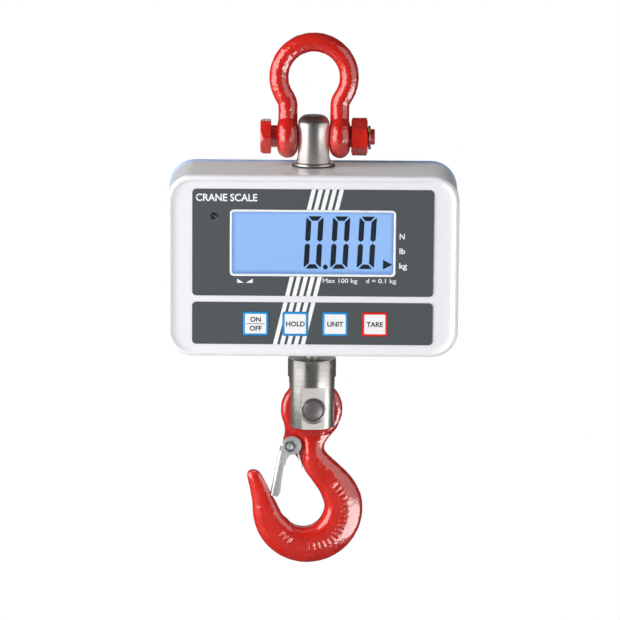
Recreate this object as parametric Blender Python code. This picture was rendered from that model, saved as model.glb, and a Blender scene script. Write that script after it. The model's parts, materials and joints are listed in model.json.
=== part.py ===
"""A hanging crane scale: shackle, stud, weighing head, swivel clevis and latched hook.

Run it with blender --background --python part.py. The scene is in metres, and the sizes below are
millimetres from the centre of the shackle's bolt. The bolt's centre is an empty that every part
hangs from, placed so that the origin is the seat inside the bow's crown, where the scale hangs.
Z is up, the display faces -Y and X points to the viewer's right.
"""

import math

import bmesh
import bpy
from mathutils import Matrix, Vector

MM = 0.001
GAP = 0.3  # running clearance between neighbours
THIN = 0.1  # clearance of a film or a pane in its seat

# Weighing head
CASE_WIDTH = 166.0
CASE_TOP = -17.0
CASE_BOTTOM = -121.0
CASE_CORNER = 15.0
WALL = 2.5
FRONT = -42.0
FIELD = FRONT + 1.0  # the recessed face inside the front rim
COVER_BACK = -38.0
CASE_FRONT = COVER_BACK + 0.2
CASE_BACK = 17.0
SEAL_FRONT = CASE_BACK + 0.2
SEAL_BACK = 19.6
REAR_FRONT = 19.8
REAR = 22.0
CORNER_STEPS = 5

# Panel
PANEL_HALF = 68.5
DISPLAY_TOP, DISPLAY_BOTTOM = -24.7, -86.0
KEYPAD_TOP, KEYPAD_BOTTOM = -89.7, -114.0
FILM = 0.4
WINDOW_HALF = 47.1
WINDOW_TOP, WINDOW_BOTTOM = -36.5, -74.7
WINDOW_BORDER = 1.2
LED_X, LED_Z, LED_RADIUS = -56.0, -40.4, 2.0
KEY_NAMES = ("on_off", "hold", "unit", "tare")
KEY_FIRST_X, KEY_PITCH, KEY_Z = -32.3, 22.63, -102.1
KEY_WIDTH, KEY_HEIGHT = 14.4, 13.7
KEY_REAR = -35.9
BOARD_FRONT = -30.6

# Load line
STUD_HALF = 9.05  # across its flats, which face the shackle's eyes
STUD_RADIUS = 11.4
STUD_TOP = 12.4
STUD_NECK = 6.9
THREAD = 5.9
CELL_TOP, CELL_BOTTOM = -44.0, -96.0
CELL_WIDTH, CELL_DEPTH = 44.0, 18.0

# Shackle
BOW_RADIUS = 20.2
BOW_CENTRE_Z = 34.3
BOW_STOCK = 5.5
LEG_X = 14.9
BOW_ANGLE = math.radians(32.0)  # how far below the bow's centre its arc meets the legs
BOW_SEGMENTS = 17  # odd, so that one flat facet lies square across the crown
BOW_STEP = (math.pi + 2 * BOW_ANGLE) / BOW_SEGMENTS
SEAT_Z = BOW_CENTRE_Z + (BOW_RADIUS - BOW_STOCK) * math.cos(BOW_STEP / 2)
LEG_BEND = 8.0  # radius of the bend from each leg into the bow
EYE_RADIUS = 12.5
EYE_INNER, EYE_OUTER = 9.2, 20.9
BOLT_RADIUS = 6.35
BOLT_HOLE = 6.6
HEX_FLATS = 19.0
COTTER_X = 31.9

# Clevis and hook
CLEVIS_RADIUS = 14.0
CLEVIS_TOP, CLEVIS_BOTTOM = -129.4, -169.9
PIN_Z = -159.0
PIN_RADIUS = 6.0
SLOT_HALF = 5.5
EYE_DISC_RADIUS = 18.0
EYE_DISC_HALF = 5.0
EYE_DISC_DROP = 1.1  # how far the eye's outline hangs below its hole's centre
SLOT_TOP = PIN_Z + EYE_DISC_RADIUS + 0.8
HOOK_RISE = 0.8  # every hook point below the eye is drawn this much higher than listed
BOWL_INNER = (-4.3, -219.0, 12.2)  # x, z, radius
BOWL_OUTER = (-1.9, -220.3, 32.2)
LATCH_X, LATCH_Z = -12.9, -182.0 + HOOK_RISE
LATCH_HALF = 5.6
LATCH_SHEET = 1.3
LUG_HALF = 2.4
SWIVEL_REST = math.radians(4.5)  # how far the free swivel stands turned about Z at rest

# Batteries
BATTERY_RADIUS, BATTERY_LENGTH = 7.25, 50.5
BATTERY_X = (38.2, 53.6, 69.0)
BATTERY_Y = 7.2
BATTERY_Z = -70.0
DOOR = (30.0, 77.0, -42.0, -98.0)  # left, right, top, bottom
SCREW_PLACES = ((-73.8, -26.2), (73.8, -26.2), (-73.8, -111.8), (73.8, -111.8))


# ---------------------------------------------------------------- scene and materials


def clear_scene():
    for obj in list(bpy.data.objects):
        bpy.data.objects.remove(obj, do_unlink=True)


def new_collection(name):
    made = bpy.data.collections.new(name)
    bpy.context.scene.collection.children.link(made)
    return made


def linear(value):
    """One sRGB channel, 0 to 255, as Blender's linear value."""
    share = value / 255.0
    return share / 12.92 if share <= 0.04045 else ((share + 0.055) / 1.055) ** 2.4


def material(name, colour, roughness, metallic=0.0, alpha=1.0):
    found = bpy.data.materials.get(name)
    if found:
        return found
    made = bpy.data.materials.new(name)
    made.use_nodes = True
    shader = made.node_tree.nodes["Principled BSDF"]
    shader.inputs["Base Color"].default_value = (*map(linear, colour), 1.0)
    shader.inputs["Roughness"].default_value = roughness
    shader.inputs["Metallic"].default_value = metallic
    shader.inputs["Alpha"].default_value = alpha
    return made


def red_paint():
    return material("red_paint", (208, 40, 34), 0.25)


def stainless():
    return material("stainless_steel", (190, 188, 184), 0.3, 1.0)


def zinc():
    return material("zinc_plated_steel", (205, 205, 205), 0.35, 1.0)


def dark_steel():
    return material("dark_steel", (88, 88, 90), 0.45, 1.0)


def brass():
    return material("brass", (181, 150, 90), 0.4, 1.0)


def aluminium():
    return material("aluminium", (200, 202, 205), 0.4, 1.0)


def white_plastic():
    return material("white_plastic", (240, 240, 243), 0.4)


def grey_plastic():
    return material("grey_plastic", (205, 205, 206), 0.3)


def black_plastic():
    return material("black_plastic", (35, 36, 38), 0.5)


def rubber():
    return material("black_rubber", (28, 28, 28), 0.8)


def blue_silicone():
    return material("blue_silicone", (120, 155, 215), 0.5)


def panel_film():
    return material("grey_film", (83, 89, 92), 0.45)


def key_film():
    return material("key_film", (245, 246, 248), 0.4)


def clear_plastic():
    return material("clear_acrylic", (235, 240, 245), 0.05, alpha=0.25)


def display_glass():
    return material("display_glass", (155, 195, 248), 0.15)


def light_guide():
    return material("light_guide", (225, 235, 255), 0.5)


def board_green():
    return material("circuit_board", (26, 92, 56), 0.5)


def battery_sleeve():
    return material("battery_sleeve", (60, 62, 68), 0.35)


def cable_jacket():
    return material("cable_jacket", (45, 45, 48), 0.6)


# ---------------------------------------------------------------- mesh helpers, in millimetres


def rounded_rectangle(left, right, top, bottom, corner, steps=CORNER_STEPS):
    """(x, z) points round a rectangle with arc corners."""
    points = []
    centres = (
        (right - corner, top - corner, 0.0),
        (left + corner, top - corner, 90.0),
        (left + corner, bottom + corner, 180.0),
        (right - corner, bottom + corner, 270.0),
    )
    for x, z, start in centres:
        for step in range(steps + 1):
            turn = math.radians(start + 90.0 * step / steps)
            points.append((x + corner * math.cos(turn), z + corner * math.sin(turn)))
    return points


def arc(x, z, radius, start, end, steps):
    """(x, z) points on an arc, its angles in degrees."""
    turns = [math.radians(start + (end - start) * i / steps) for i in range(steps + 1)]
    return [(x + radius * math.cos(t), z + radius * math.sin(t)) for t in turns]


def loft(rings, closed=False):
    """Skins equal rings of points. An open loft is capped at both ends, a closed one is a ring."""
    mesh = bmesh.new()
    skins = [[mesh.verts.new(point) for point in ring] for ring in rings]
    following = skins[1:] + (skins[:1] if closed else [])
    for low, high in zip(skins, following):
        for i in range(len(low)):
            j = (i + 1) % len(low)
            mesh.faces.new((low[i], low[j], high[j], high[i]))
    if not closed:
        mesh.faces.new(skins[0])
        mesh.faces.new(skins[-1])
    bmesh.ops.recalc_face_normals(mesh, faces=mesh.faces)
    return mesh


def prism(points, front, back):
    """An (x, z) outline carried from one y to another."""
    return loft([[(x, y, z) for x, z in points] for y in (front, back)])


def plate(left, right, top, bottom, corner, front, back, steps=3):
    return prism(rounded_rectangle(left, right, top, bottom, corner, steps), front, back)


def case_rings(profile, steps=CORNER_STEPS):
    """Rings of the weighing head's outline, one for each (inset, y) of a profile."""
    rings = []
    for inset, y in profile:
        half = CASE_WIDTH / 2 - inset
        outline = rounded_rectangle(
            -half, half, CASE_TOP - inset, CASE_BOTTOM + inset, CASE_CORNER - inset, steps
        )
        rings.append([(x, y, z) for x, z in outline])
    return rings


def box(left, right, front, back, bottom, top):
    mesh = bmesh.new()
    bmesh.ops.create_cube(mesh, size=1.0)
    bmesh.ops.scale(mesh, vec=(right - left, back - front, top - bottom), verts=mesh.verts)
    middle = ((left + right) / 2, (front + back) / 2, (bottom + top) / 2)
    bmesh.ops.translate(mesh, vec=middle, verts=mesh.verts)
    return mesh


AXIS_TURN = {
    "X": Matrix.Rotation(math.radians(90), 4, "Y"),
    "Y": Matrix.Rotation(math.radians(-90), 4, "X"),
    "Z": Matrix.Identity(4),
}


def turned(profile, axis="Z", centre=(0, 0, 0), steps=32, hollow=False):
    """A lathe shape: (radius, distance along the axis) points spun about the axis.

    A hollow profile is a closed loop that stays off the axis; a solid one starts and ends on it.
    """
    mesh = bmesh.new()
    verts = [mesh.verts.new((radius, 0, along)) for radius, along in profile]
    pairs = list(zip(verts, verts[1:])) + ([(verts[-1], verts[0])] if hollow else [])
    edges = [mesh.edges.new(pair) for pair in pairs]
    bmesh.ops.spin(
        mesh, geom=verts + edges, cent=(0, 0, 0), axis=(0, 0, 1), angle=math.tau,
        steps=steps, use_merge=True,
    )
    bmesh.ops.remove_doubles(mesh, verts=mesh.verts, dist=1e-4)
    bmesh.ops.recalc_face_normals(mesh, faces=mesh.faces)
    mesh.transform(Matrix.Translation(Vector(centre)) @ AXIS_TURN[axis])
    return mesh


def rod(radius, start, end, axis="Z", centre=(0, 0, 0), steps=24, chamfer=0.0):
    """A cylinder between two distances along its axis."""
    profile = [(0, start), (radius - chamfer, start), (radius - chamfer, end), (0, end)]
    if chamfer:
        profile[2:2] = [(radius, start + chamfer), (radius, end - chamfer)]
    return turned(profile, axis, centre, steps)


def washer(hole, radius, start, end, axis="Z", centre=(0, 0, 0), steps=32, chamfer=0.2):
    """A flat ring with its outer edges broken."""
    profile = [
        (hole, start),
        (radius - chamfer, start),
        (radius, start + chamfer),
        (radius, end - chamfer),
        (radius - chamfer, end),
        (hole, end),
    ]
    return turned(profile, axis, centre, steps, hollow=True)


def hexagon(flats, start, end, axis="Z", centre=(0, 0, 0), turn=0.0, dome=1.4):
    """A hexagonal prism whose corners slope off at both ends, for a nut or a bolt's head."""
    corner = flats / math.sqrt(3.0)
    mesh = bmesh.new()
    bmesh.ops.create_cone(
        mesh, cap_ends=True, segments=6, radius1=corner, radius2=corner, depth=end - start
    )
    ends = [face for face in mesh.faces if len(face.verts) == 6]
    edges = list({edge for face in ends for edge in face.edges})
    bmesh.ops.bevel(
        mesh, geom=edges, offset=dome, offset_type="OFFSET", segments=2, profile=0.6,
        affect="EDGES",
    )
    place = Matrix.Translation(Vector((0, 0, (start + end) / 2)))
    spin = Matrix.Rotation(math.radians(turn), 4, "Z")
    mesh.transform(Matrix.Translation(Vector(centre)) @ AXIS_TURN[axis] @ place @ spin)
    return mesh


def merged(*parts):
    """Separate shapes in one mesh, for a cutter with several blades."""
    whole = bmesh.new()
    for part in parts:
        held = bpy.data.meshes.new("held")
        part.to_mesh(held)
        part.free()
        whole.from_mesh(held)
        bpy.data.meshes.remove(held)
    return whole


# ---------------------------------------------------------------- objects


clear_scene()
PARTS = new_collection("crane_scale")
TOOLS = new_collection("cutters")
TOOLS.hide_render = True
BOLT_CENTRE = bpy.data.objects.new("bolt_centre", None)
BOLT_CENTRE.location = (0, 0, -SEAT_Z * MM)
PARTS.objects.link(BOLT_CENTRE)


def store(name, mesh, origin, collection):
    """Turns a millimetre mesh in its place into an object in metres about its own origin."""
    bmesh.ops.translate(mesh, vec=-Vector(origin), verts=mesh.verts)
    bmesh.ops.scale(mesh, vec=(MM, MM, MM), verts=mesh.verts)
    data = bpy.data.meshes.new(name)
    mesh.to_mesh(data)
    mesh.free()
    obj = bpy.data.objects.new(name, data)
    obj.location = Vector(origin) * MM
    obj.parent = BOLT_CENTRE
    collection.objects.link(obj)
    return obj


def add_part(name, mesh, finish, origin=(0, 0, 0)):
    obj = store(name, mesh, origin, PARTS)
    obj.data.materials.append(finish)
    return obj


def apply_tool(obj, mesh, operation):
    tool = store(f"{obj.name}_tool_{len(obj.modifiers)}", mesh, (0, 0, 0), TOOLS)
    tool.hide_render = True
    tool.display_type = "WIRE"
    change = obj.modifiers.new(operation.lower(), "BOOLEAN")
    change.operation = operation
    change.solver = "EXACT"
    change.object = tool


def cut(obj, mesh):
    apply_tool(obj, mesh, "DIFFERENCE")


def join(obj, mesh):
    apply_tool(obj, mesh, "UNION")


def add_wire(name, points, radius, finish, origin=(0, 0, 0)):
    """A round wire or cable through a list of points."""
    curve = bpy.data.curves.new(name, "CURVE")
    curve.dimensions = "3D"
    curve.bevel_depth = radius * MM
    curve.bevel_resolution = 2
    curve.use_fill_caps = True
    spline = curve.splines.new("POLY")
    spline.points.add(len(points) - 1)
    for point, place in zip(spline.points, points):
        point.co = (*((Vector(place) - Vector(origin)) * MM), 1.0)
    curve.materials.append(finish)
    obj = bpy.data.objects.new(name, curve)
    obj.location = Vector(origin) * MM
    obj.parent = BOLT_CENTRE
    PARTS.objects.link(obj)
    return obj


# ---------------------------------------------------------------- weighing head


def key_places():
    return [(name, KEY_FIRST_X + i * KEY_PITCH) for i, name in enumerate(KEY_NAMES)]


def key_openings(clearance, front, back):
    half_width = KEY_WIDTH / 2 + clearance
    half_height = KEY_HEIGHT / 2 + clearance
    return [
        plate(x - half_width, x + half_width, KEY_Z + half_height, KEY_Z - half_height,
              1.2 + clearance, front, back)
        for _, x in key_places()
    ]


def window_plate(grow, corner, front, back):
    """A pane the size of the display window, grown by a margin on every side."""
    return plate(-WINDOW_HALF - grow, WINDOW_HALF + grow, WINDOW_TOP + grow,
                 WINDOW_BOTTOM - grow, corner, front, back)


def make_front_cover():
    rim = [(0, COVER_BACK), (0, -40.0), (0.5, -41.1), (1.4, -41.8), (2.3, FRONT),
           (2.9, -41.9), (3.4, -41.3), (4.2, FIELD)]
    cover = add_part("front_cover", loft(case_rings(rim)), white_plastic())
    lip = [(WALL + GAP, -39.0), (WALL + GAP, -34.0), (WALL + 2.3, -34.0), (WALL + 2.3, -39.0)]
    join(cover, loft(case_rings(lip), closed=True))
    for x, z in SCREW_PLACES:
        join(cover, rod(3.6, -39.0, -18.3, "Y", (x, 0, z), steps=16))
    cut(cover, merged(
        window_plate(THIN, 2.5, -45.0, -30.0),
        rod(LED_RADIUS + 0.15, -45.0, -30.0, "Y", (LED_X, 0, LED_Z)),
        *key_openings(0.25, -45.0, -30.0),
    ))
    cut(cover, merged(*[rod(1.6, -28.0, -10.0, "Y", (x, 0, z), steps=12)
                        for x, z in SCREW_PLACES]))


def make_overlays():
    front, back = FIELD - FILM - THIN / 2, FIELD - THIN / 2
    display = add_part(
        "display_overlay",
        plate(-PANEL_HALF, PANEL_HALF, DISPLAY_TOP, DISPLAY_BOTTOM, 2.3, front, back, 4),
        panel_film(),
    )
    cut(display, merged(
        window_plate(THIN, 2.5, -45.0, -38.0),
        rod(LED_RADIUS + 0.15, -45.0, -38.0, "Y", (LED_X, 0, LED_Z)),
    ))
    keypad = add_part(
        "keypad_overlay",
        plate(-PANEL_HALF, PANEL_HALF, KEYPAD_TOP, KEYPAD_BOTTOM, 2.3, front, back, 4),
        panel_film(),
    )
    cut(keypad, merged(*key_openings(0.2, -45.0, -38.0)))


def make_display():
    frame = add_part("window_frame", window_plate(0, 2.4, -41.6, -38.2), white_plastic())
    cut(frame, window_plate(-WINDOW_BORDER, 1.3, -45.0, -35.0))
    add_part("window_lens", window_plate(-WINDOW_BORDER - THIN, 1.2, -41.3, -38.3),
             clear_plastic())
    add_part("display_glass", box(-50, 50, -37.6, -35.2, -76.5, -34.5), display_glass())
    add_part("display_backlight", box(-50, 50, -34.9, -31.4, -76.5, -34.5), light_guide())
    holder = add_part("display_holder", box(-53, 53, -37.6, -31.0, -79.5, -31.5),
                      black_plastic())
    cut(holder, box(-50 - GAP, 50 + GAP, -45, -25, -76.5 - GAP, -34.5 + GAP))


def make_board():
    add_part("main_board", plate(-69, 69, -28, -113.5, 3.0, BOARD_FRONT, BOARD_FRONT + 1.6),
             board_green())
    add_part("status_led", rod(LED_RADIUS, -41.2, BOARD_FRONT - GAP, "Y",
                               (LED_X, 0, LED_Z), steps=16, chamfer=0.4), clear_plastic())
    for name, x in key_places():
        base = add_part(f"switch_{name}",
                        box(x - 3, x + 3, BOARD_FRONT - 3.3, BOARD_FRONT - GAP, KEY_Z - 3, KEY_Z + 3),
                        black_plastic())
        join(base, rod(1.7, KEY_REAR + 0.7, BOARD_FRONT - 2.0, "Y", (x, 0, KEY_Z), steps=12))


def make_keys():
    """Each key is a cap, a flange that keeps it behind the cover, and a stem to its switch."""
    profile = ((0.25, -41.6), (0.0, -41.35), (0.0, -37.5), (-1.2, -37.5), (-1.2, -36.8),
               (5.2, -36.8), (5.2, KEY_REAR))
    for name, x in key_places():
        rings = []
        for inset, y in profile:
            half_width, half_height = KEY_WIDTH / 2 - inset, KEY_HEIGHT / 2 - inset
            outline = rounded_rectangle(x - half_width, x + half_width, KEY_Z + half_height,
                                        KEY_Z - half_height, max(1.2 - inset, 0.4), 3)
            rings.append([(px, y, pz) for px, pz in outline])
        add_part(f"key_{name}", loft(rings), key_film(), (x, FRONT, KEY_Z))


def make_case():
    case = add_part("middle_case", loft(case_rings([(0, CASE_FRONT), (0, CASE_BACK)])),
                    grey_plastic())
    cut(case, loft(case_rings([(WALL, CASE_FRONT - 5), (WALL, CASE_BACK + 5)])))
    for x, z in SCREW_PLACES:
        join(case, rod(4.8, -18.0, CASE_BACK - 0.4, "Y", (x, 0, z), steps=16))
    cut(case, merged(*[rod(1.8, -25.0, CASE_BACK + 5, "Y", (x, 0, z), steps=12)
                       for x, z in SCREW_PLACES]))
    cut(case, rod(STUD_NECK + GAP, CASE_TOP - 6, CASE_TOP + 6))
    cut(case, rod(8.0, CASE_BOTTOM - 6, CASE_BOTTOM + 6))


def make_seal():
    ring = [(-0.6, SEAL_FRONT + 0.4), (-0.6, SEAL_BACK - 0.4), (0.0, SEAL_BACK),
            (2.3, SEAL_BACK), (2.3, SEAL_FRONT), (0.0, SEAL_FRONT)]
    add_part("case_seal", loft(case_rings(ring), closed=True), blue_silicone())


def make_rear_cover():
    plate_profile = [(1.2, REAR_FRONT), (1.2, 20.8), (1.6, 21.6), (2.4, REAR)]
    cover = add_part("rear_cover", loft(case_rings(plate_profile)), grey_plastic())
    lip = [(WALL + GAP, 14.0), (WALL + GAP, 20.5), (WALL + 1.8, 20.5), (WALL + 1.8, 14.0)]
    join(cover, loft(case_rings(lip), closed=True))
    left, right, top, bottom = DOOR
    cut(cover, box(left, right, 10, 30, bottom, top))
    for x, z in SCREW_PLACES:
        cut(cover, rod(5.3, 10.0, REAR_FRONT, "Y", (x, 0, z), steps=16))
        cut(cover, rod(1.8, 10.0, 30.0, "Y", (x, 0, z), steps=12))
        cut(cover, rod(3.2, 20.6, 30.0, "Y", (x, 0, z), steps=16))


def make_battery_door():
    left, right, top, bottom = DOOR
    door = add_part(
        "battery_door",
        box(left + GAP, right - GAP, REAR_FRONT + 0.1, REAR - 0.1, bottom + GAP, top - GAP),
        grey_plastic(), ((left + right) / 2, REAR, (top + bottom) / 2),
    )
    middle = (left + right) / 2
    cut(door, merged(*[box(middle - 9, middle + 9, 21.2, 25, top - 6.6 - 3 * i, top - 5.2 - 3 * i)
                       for i in range(4)]))


def make_screws():
    names = ("case_screw_upper_left", "case_screw_upper_right",
             "case_screw_lower_left", "case_screw_lower_right")
    for name, (x, z) in zip(names, SCREW_PLACES):
        shape = [(0, -26.0), (1.3, -26.0), (1.3, 20.8), (2.9, 20.8), (2.9, 21.5), (2.4, 21.8),
                 (0, 21.8)]
        screw = add_part(name, turned(shape, "Y", (x, 0, z), 12), zinc(), (x, 0, z))
        cut(screw, box(x - 1.6, x + 1.6, 21.2, 25, z - 0.35, z + 0.35))
        cut(screw, box(x - 0.35, x + 0.35, 21.2, 25, z - 1.6, z + 1.6))


def make_batteries():
    low = BATTERY_Z - BATTERY_LENGTH / 2
    cell = [(0, low), (BATTERY_RADIUS - 0.5, low), (BATTERY_RADIUS, low + 0.5),
            (BATTERY_RADIUS, low + BATTERY_LENGTH - 1.9),
            (BATTERY_RADIUS - 0.8, low + BATTERY_LENGTH - 1.2),
            (2.7, low + BATTERY_LENGTH - 1.2), (2.7, low + BATTERY_LENGTH),
            (0, low + BATTERY_LENGTH)]
    for number, x in enumerate(BATTERY_X, 1):
        add_part(f"battery_{number}", turned(cell, "Z", (x, BATTERY_Y, 0), 16),
                 battery_sleeve(), (x, BATTERY_Y, 0))
    tray = add_part("battery_tray", box(29.2, 78.4, -2.4, 16.4, -99.4, -40.6), black_plastic())
    cut(tray, box(30.6, 77.0, -1.0, 20.0, -98.0, -42.0))
    for name, low, high in (("upper", -43.6, -42.3), ("lower", -97.7, -96.4)):
        contact = add_part(f"battery_contacts_{name}", box(31.2, 76.4, 1.5, 13.0, low, high),
                           zinc())
        cut(contact, merged(*[box(x - 0.5 + 7.7, x + 0.5 + 7.7, 5, 20, low - 1, high + 1)
                              for x in BATTERY_X[:2]]))


def make_load_cell():
    half, deep = CELL_WIDTH / 2, CELL_DEPTH / 2
    cell = add_part("load_cell", box(-half, half, -deep, deep, CELL_BOTTOM, CELL_TOP),
                    aluminium())
    cut(cell, box(-half - 5, half - 9, -20, 20, CELL_TOP - 14.5, CELL_TOP - 12.5))
    cut(cell, box(-half + 9, half + 5, -20, 20, CELL_BOTTOM + 12.5, CELL_BOTTOM + 14.5))
    middle = (CELL_TOP + CELL_BOTTOM) / 2
    cut(cell, merged(*[rod(4.0, -20, 20, "Y", (x, 0, middle), 16) for x in (-5.0, 5.0)]))
    cut(cell, merged(rod(THREAD + GAP, CELL_TOP - 10.5, CELL_TOP + 5),
                     rod(THREAD + GAP, CELL_BOTTOM - 5, CELL_BOTTOM + 10.5)))


def stud_flat(side):
    """What is milled off one side of the stud, down to the shoulder above its collar."""
    flank = [(STUD_HALF + 0.9, -14.6), (STUD_HALF + 0.35, -13.2), (STUD_HALF, -9.0)]
    flank += arc(STUD_HALF - 6.0, STUD_TOP - 6.0, 6.0, 0, 70, 5)
    corner = [(STUD_HALF - 6.0, STUD_TOP + 5), (20.0, STUD_TOP + 5), (20.0, -14.6)]
    return prism([(side * x, z) for x, z in flank + corner], -20, 20)


def make_stud():
    shape = [(0, CELL_TOP - 10), (THREAD - 0.6, CELL_TOP - 10), (THREAD, CELL_TOP - 9.4),
             (THREAD, CELL_TOP + 2), (STUD_NECK, CELL_TOP + 3), (STUD_NECK, -14.5),
             (STUD_RADIUS, -14.5)]
    shape += arc(STUD_RADIUS - 7.0, STUD_TOP - 7.0, 7.0, 0, 90, 6)
    shape.append((0, STUD_TOP))
    stud = add_part("upper_stud", turned(shape, steps=24), stainless())
    cut(stud, merged(stud_flat(-1), stud_flat(1)))
    cut(stud, rod(BOLT_HOLE, -20, 20, "X"))
    collar = [(STUD_NECK + GAP, -16.35), (12.0, -16.35), (12.3, -16.0), (12.3, -15.4),
              (11.9, -14.9), (10.6, -14.7), (STUD_NECK + GAP, -14.7)]
    add_part("stud_collar", turned(collar, steps=24, hollow=True), stainless())
    add_part("stud_gasket", washer(STUD_NECK + GAP, 12.5, -16.9, -16.45, steps=24, chamfer=0.1),
             rubber())
    nut = add_part("upper_lock_nut", hexagon(22.0, -26.8, -19.8, dome=1.0), zinc())
    cut(nut, rod(STUD_NECK + GAP, -30, -15))


def make_swivel():
    shape = [(0, -139.9), (7.2, -139.9), (7.8, -139.3), (7.8, -136.3), (4.0, -136.3),
             (4.0, -120.0), (THREAD, -118.0), (THREAD, CELL_BOTTOM + 9.4),
             (THREAD - 0.6, CELL_BOTTOM + 10), (0, CELL_BOTTOM + 10)]
    add_part("swivel_bolt", turned(shape, steps=20), stainless())
    bush = [(THREAD + GAP, -117.6), (THREAD + GAP, -122.6), (10.8, -122.6), (11.2, -122.2),
            (11.2, -121.3), (7.7, -121.3), (7.7, -117.6)]
    add_part("lower_bush", turned(bush, steps=20, hollow=True), rubber())
    nut = add_part("lower_lock_nut", hexagon(19.0, -103.3, -96.3, dome=1.0), zinc())
    cut(nut, rod(THREAD + GAP, -110, -90))
    add_part("thrust_washer", washer(4.3, 7.9, -136.0, -135.0, steps=20, chamfer=0.15), brass())


def make_cables():
    add_wire("load_cell_cable", [(-22.3, 0, -60), (-30, 0, -60), (-36, -4, -58), (-38, -12, -52),
                                 (-38, -20, -46), (-38, -28.2, -42)], 1.3, cable_jacket())
    add_wire("battery_cable", [(60, -2.8, -60), (60, -8, -60), (58, -14, -56), (56, -22, -50),
                               (56, -28.2, -48)], 1.0, cable_jacket())


# ---------------------------------------------------------------- shackle


def bow_path():
    """(x, z, lean) along the shackle's centre line, from the right eye over the crown to the left.

    lean is how far the line tips from vertical towards +X.
    """
    join_x = BOW_RADIUS * math.cos(BOW_ANGLE)
    join_z = BOW_CENTRE_Z - BOW_RADIUS * math.sin(BOW_ANGLE)
    bend_x = LEG_X + LEG_BEND * (1 - math.cos(BOW_ANGLE))
    bend_z = join_z - (join_x - bend_x) / math.tan(BOW_ANGLE)
    foot_z = bend_z - LEG_BEND * math.sin(BOW_ANGLE)
    right = [(LEG_X, 3.0, 0.0)]
    for step in range(4):
        lean = BOW_ANGLE * step / 3
        right.append((LEG_X + LEG_BEND * (1 - math.cos(lean)),
                      foot_z + LEG_BEND * math.sin(lean), lean))
    bow = []
    for step in range(BOW_SEGMENTS + 1):
        turn = BOW_STEP * step - BOW_ANGLE
        bow.append((BOW_RADIUS * math.cos(turn), BOW_CENTRE_Z + BOW_RADIUS * math.sin(turn),
                    -turn))
    left = [(-x, z, -math.pi - lean) for x, z, lean in reversed(right)]
    return right + bow + left


def bow_rings():
    """Round sections along the path, each with a flat facet on its inner side."""
    rings = []
    corners = 12
    scale = 1.0 / math.cos(math.pi / corners)
    for x, z, lean in bow_path():
        inward = Vector((-math.cos(lean), 0, math.sin(lean)))
        rings.append([
            Vector((x, 0, z))
            + inward * BOW_STOCK * scale * math.cos(math.tau * (i + 0.5) / corners)
            + Vector((0, 1, 0)) * BOW_STOCK * scale * math.sin(math.tau * (i + 0.5) / corners)
            for i in range(corners)
        ])
    return rings


def shackle_eye(side):
    middle = side * (EYE_INNER + EYE_OUTER) / 2
    half = (EYE_OUTER - EYE_INNER) / 2
    rim = arc(EYE_RADIUS - half, 0, half, -78, 78, 6)
    return turned([(0, rim[0][1]), *rim, (0, rim[-1][1])], "X", (middle, 0, 0), 20)


def make_shackle():
    bow = add_part("shackle_bow", loft(bow_rings()), red_paint())
    for side in (-1, 1):
        join(bow, shackle_eye(side))
    cut(bow, rod(BOLT_HOLE, -30, 30, "X"))


def make_shackle_bolt():
    shape = [(0, -25.5), (BOLT_RADIUS, -25.5), (BOLT_RADIUS, 21.2), (6.0, 21.5), (6.0, 32.2),
             (5.6, 32.5), (4.5, 32.6), (4.5, 34.8), (4.1, 35.2), (0, 35.2)]
    bolt = add_part("shackle_bolt", turned(shape, "X", steps=20), red_paint())
    join(bolt, hexagon(18.8, -30.6, -24.5, "X", turn=0.0, dome=1.5))
    cut(bolt, rod(1.1, -12, 12, "Z", (COTTER_X, 0, 0), steps=12))
    nut = add_part("shackle_nut", hexagon(HEX_FLATS, 21.7, 31.0, "X", turn=30.0, dome=0.7),
                   red_paint())
    cut(nut, rod(6.0 + GAP, 15, 40, "X"))
    loop = [(COTTER_X, x, z) for x, z in arc(0, 8.6, 1.7, -70, 250, 10)]
    leg = [(COTTER_X, 0.0, 6.2), (COTTER_X, 0.0, -7.6), (COTTER_X + 0.2, -0.4, -8.6),
           (COTTER_X + 0.5, -1.2, -9.6)]
    add_wire("shackle_cotter", loop + leg, 0.7, brass())


# ---------------------------------------------------------------- clevis and hook


def make_clevis():
    chamfer = 1.0
    shape = [(0, CLEVIS_BOTTOM), (CLEVIS_RADIUS - chamfer, CLEVIS_BOTTOM),
             (CLEVIS_RADIUS, CLEVIS_BOTTOM + chamfer), (CLEVIS_RADIUS, CLEVIS_TOP - chamfer),
             (CLEVIS_RADIUS - chamfer, CLEVIS_TOP), (0, CLEVIS_TOP)]
    clevis = add_part("clevis", turned(shape, steps=32), stainless())
    low = CLEVIS_BOTTOM - 5
    cut(clevis, box(-20, 20, -SLOT_HALF, SLOT_HALF, low, SLOT_TOP))
    cut(clevis, merged(box(-20, 20, -20, -12.3, low, -145.1), box(-20, 20, 12.3, 20, low, -145.1)))
    for side in (-1, 1):
        flat = [(side * 12.65, low), (side * 12.65, -145.8), (side * 15.0, -140.5),
                (side * 20.0, -140.5), (side * 20.0, low)]
        cut(clevis, prism(flat, -20, 20))
    sink = [(0, -20), (9.0, -20), (9.0, -14.3), (PIN_RADIUS + 0.25, -11.4),
            (PIN_RADIUS + 0.25, 11.4), (9.0, 14.3), (9.0, 20), (0, 20)]
    cut(clevis, turned(sink, "Y", (0, 0, PIN_Z), 20))
    cut(clevis, rod(4.4, -150, -120))
    cut(clevis, rod(8.3, SLOT_TOP - 2, -134.7))
    pin = [(0, -12.2), (4.6, -12.0), (6.4, -11.8), (PIN_RADIUS, -11.3), (PIN_RADIUS, 11.3),
           (6.4, 11.8), (4.6, 12.0), (0, 12.2)]
    add_part("clevis_pin", turned(pin, "Y", (0, 0, PIN_Z), 20), dark_steel(), (0, 0, PIN_Z))


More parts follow.
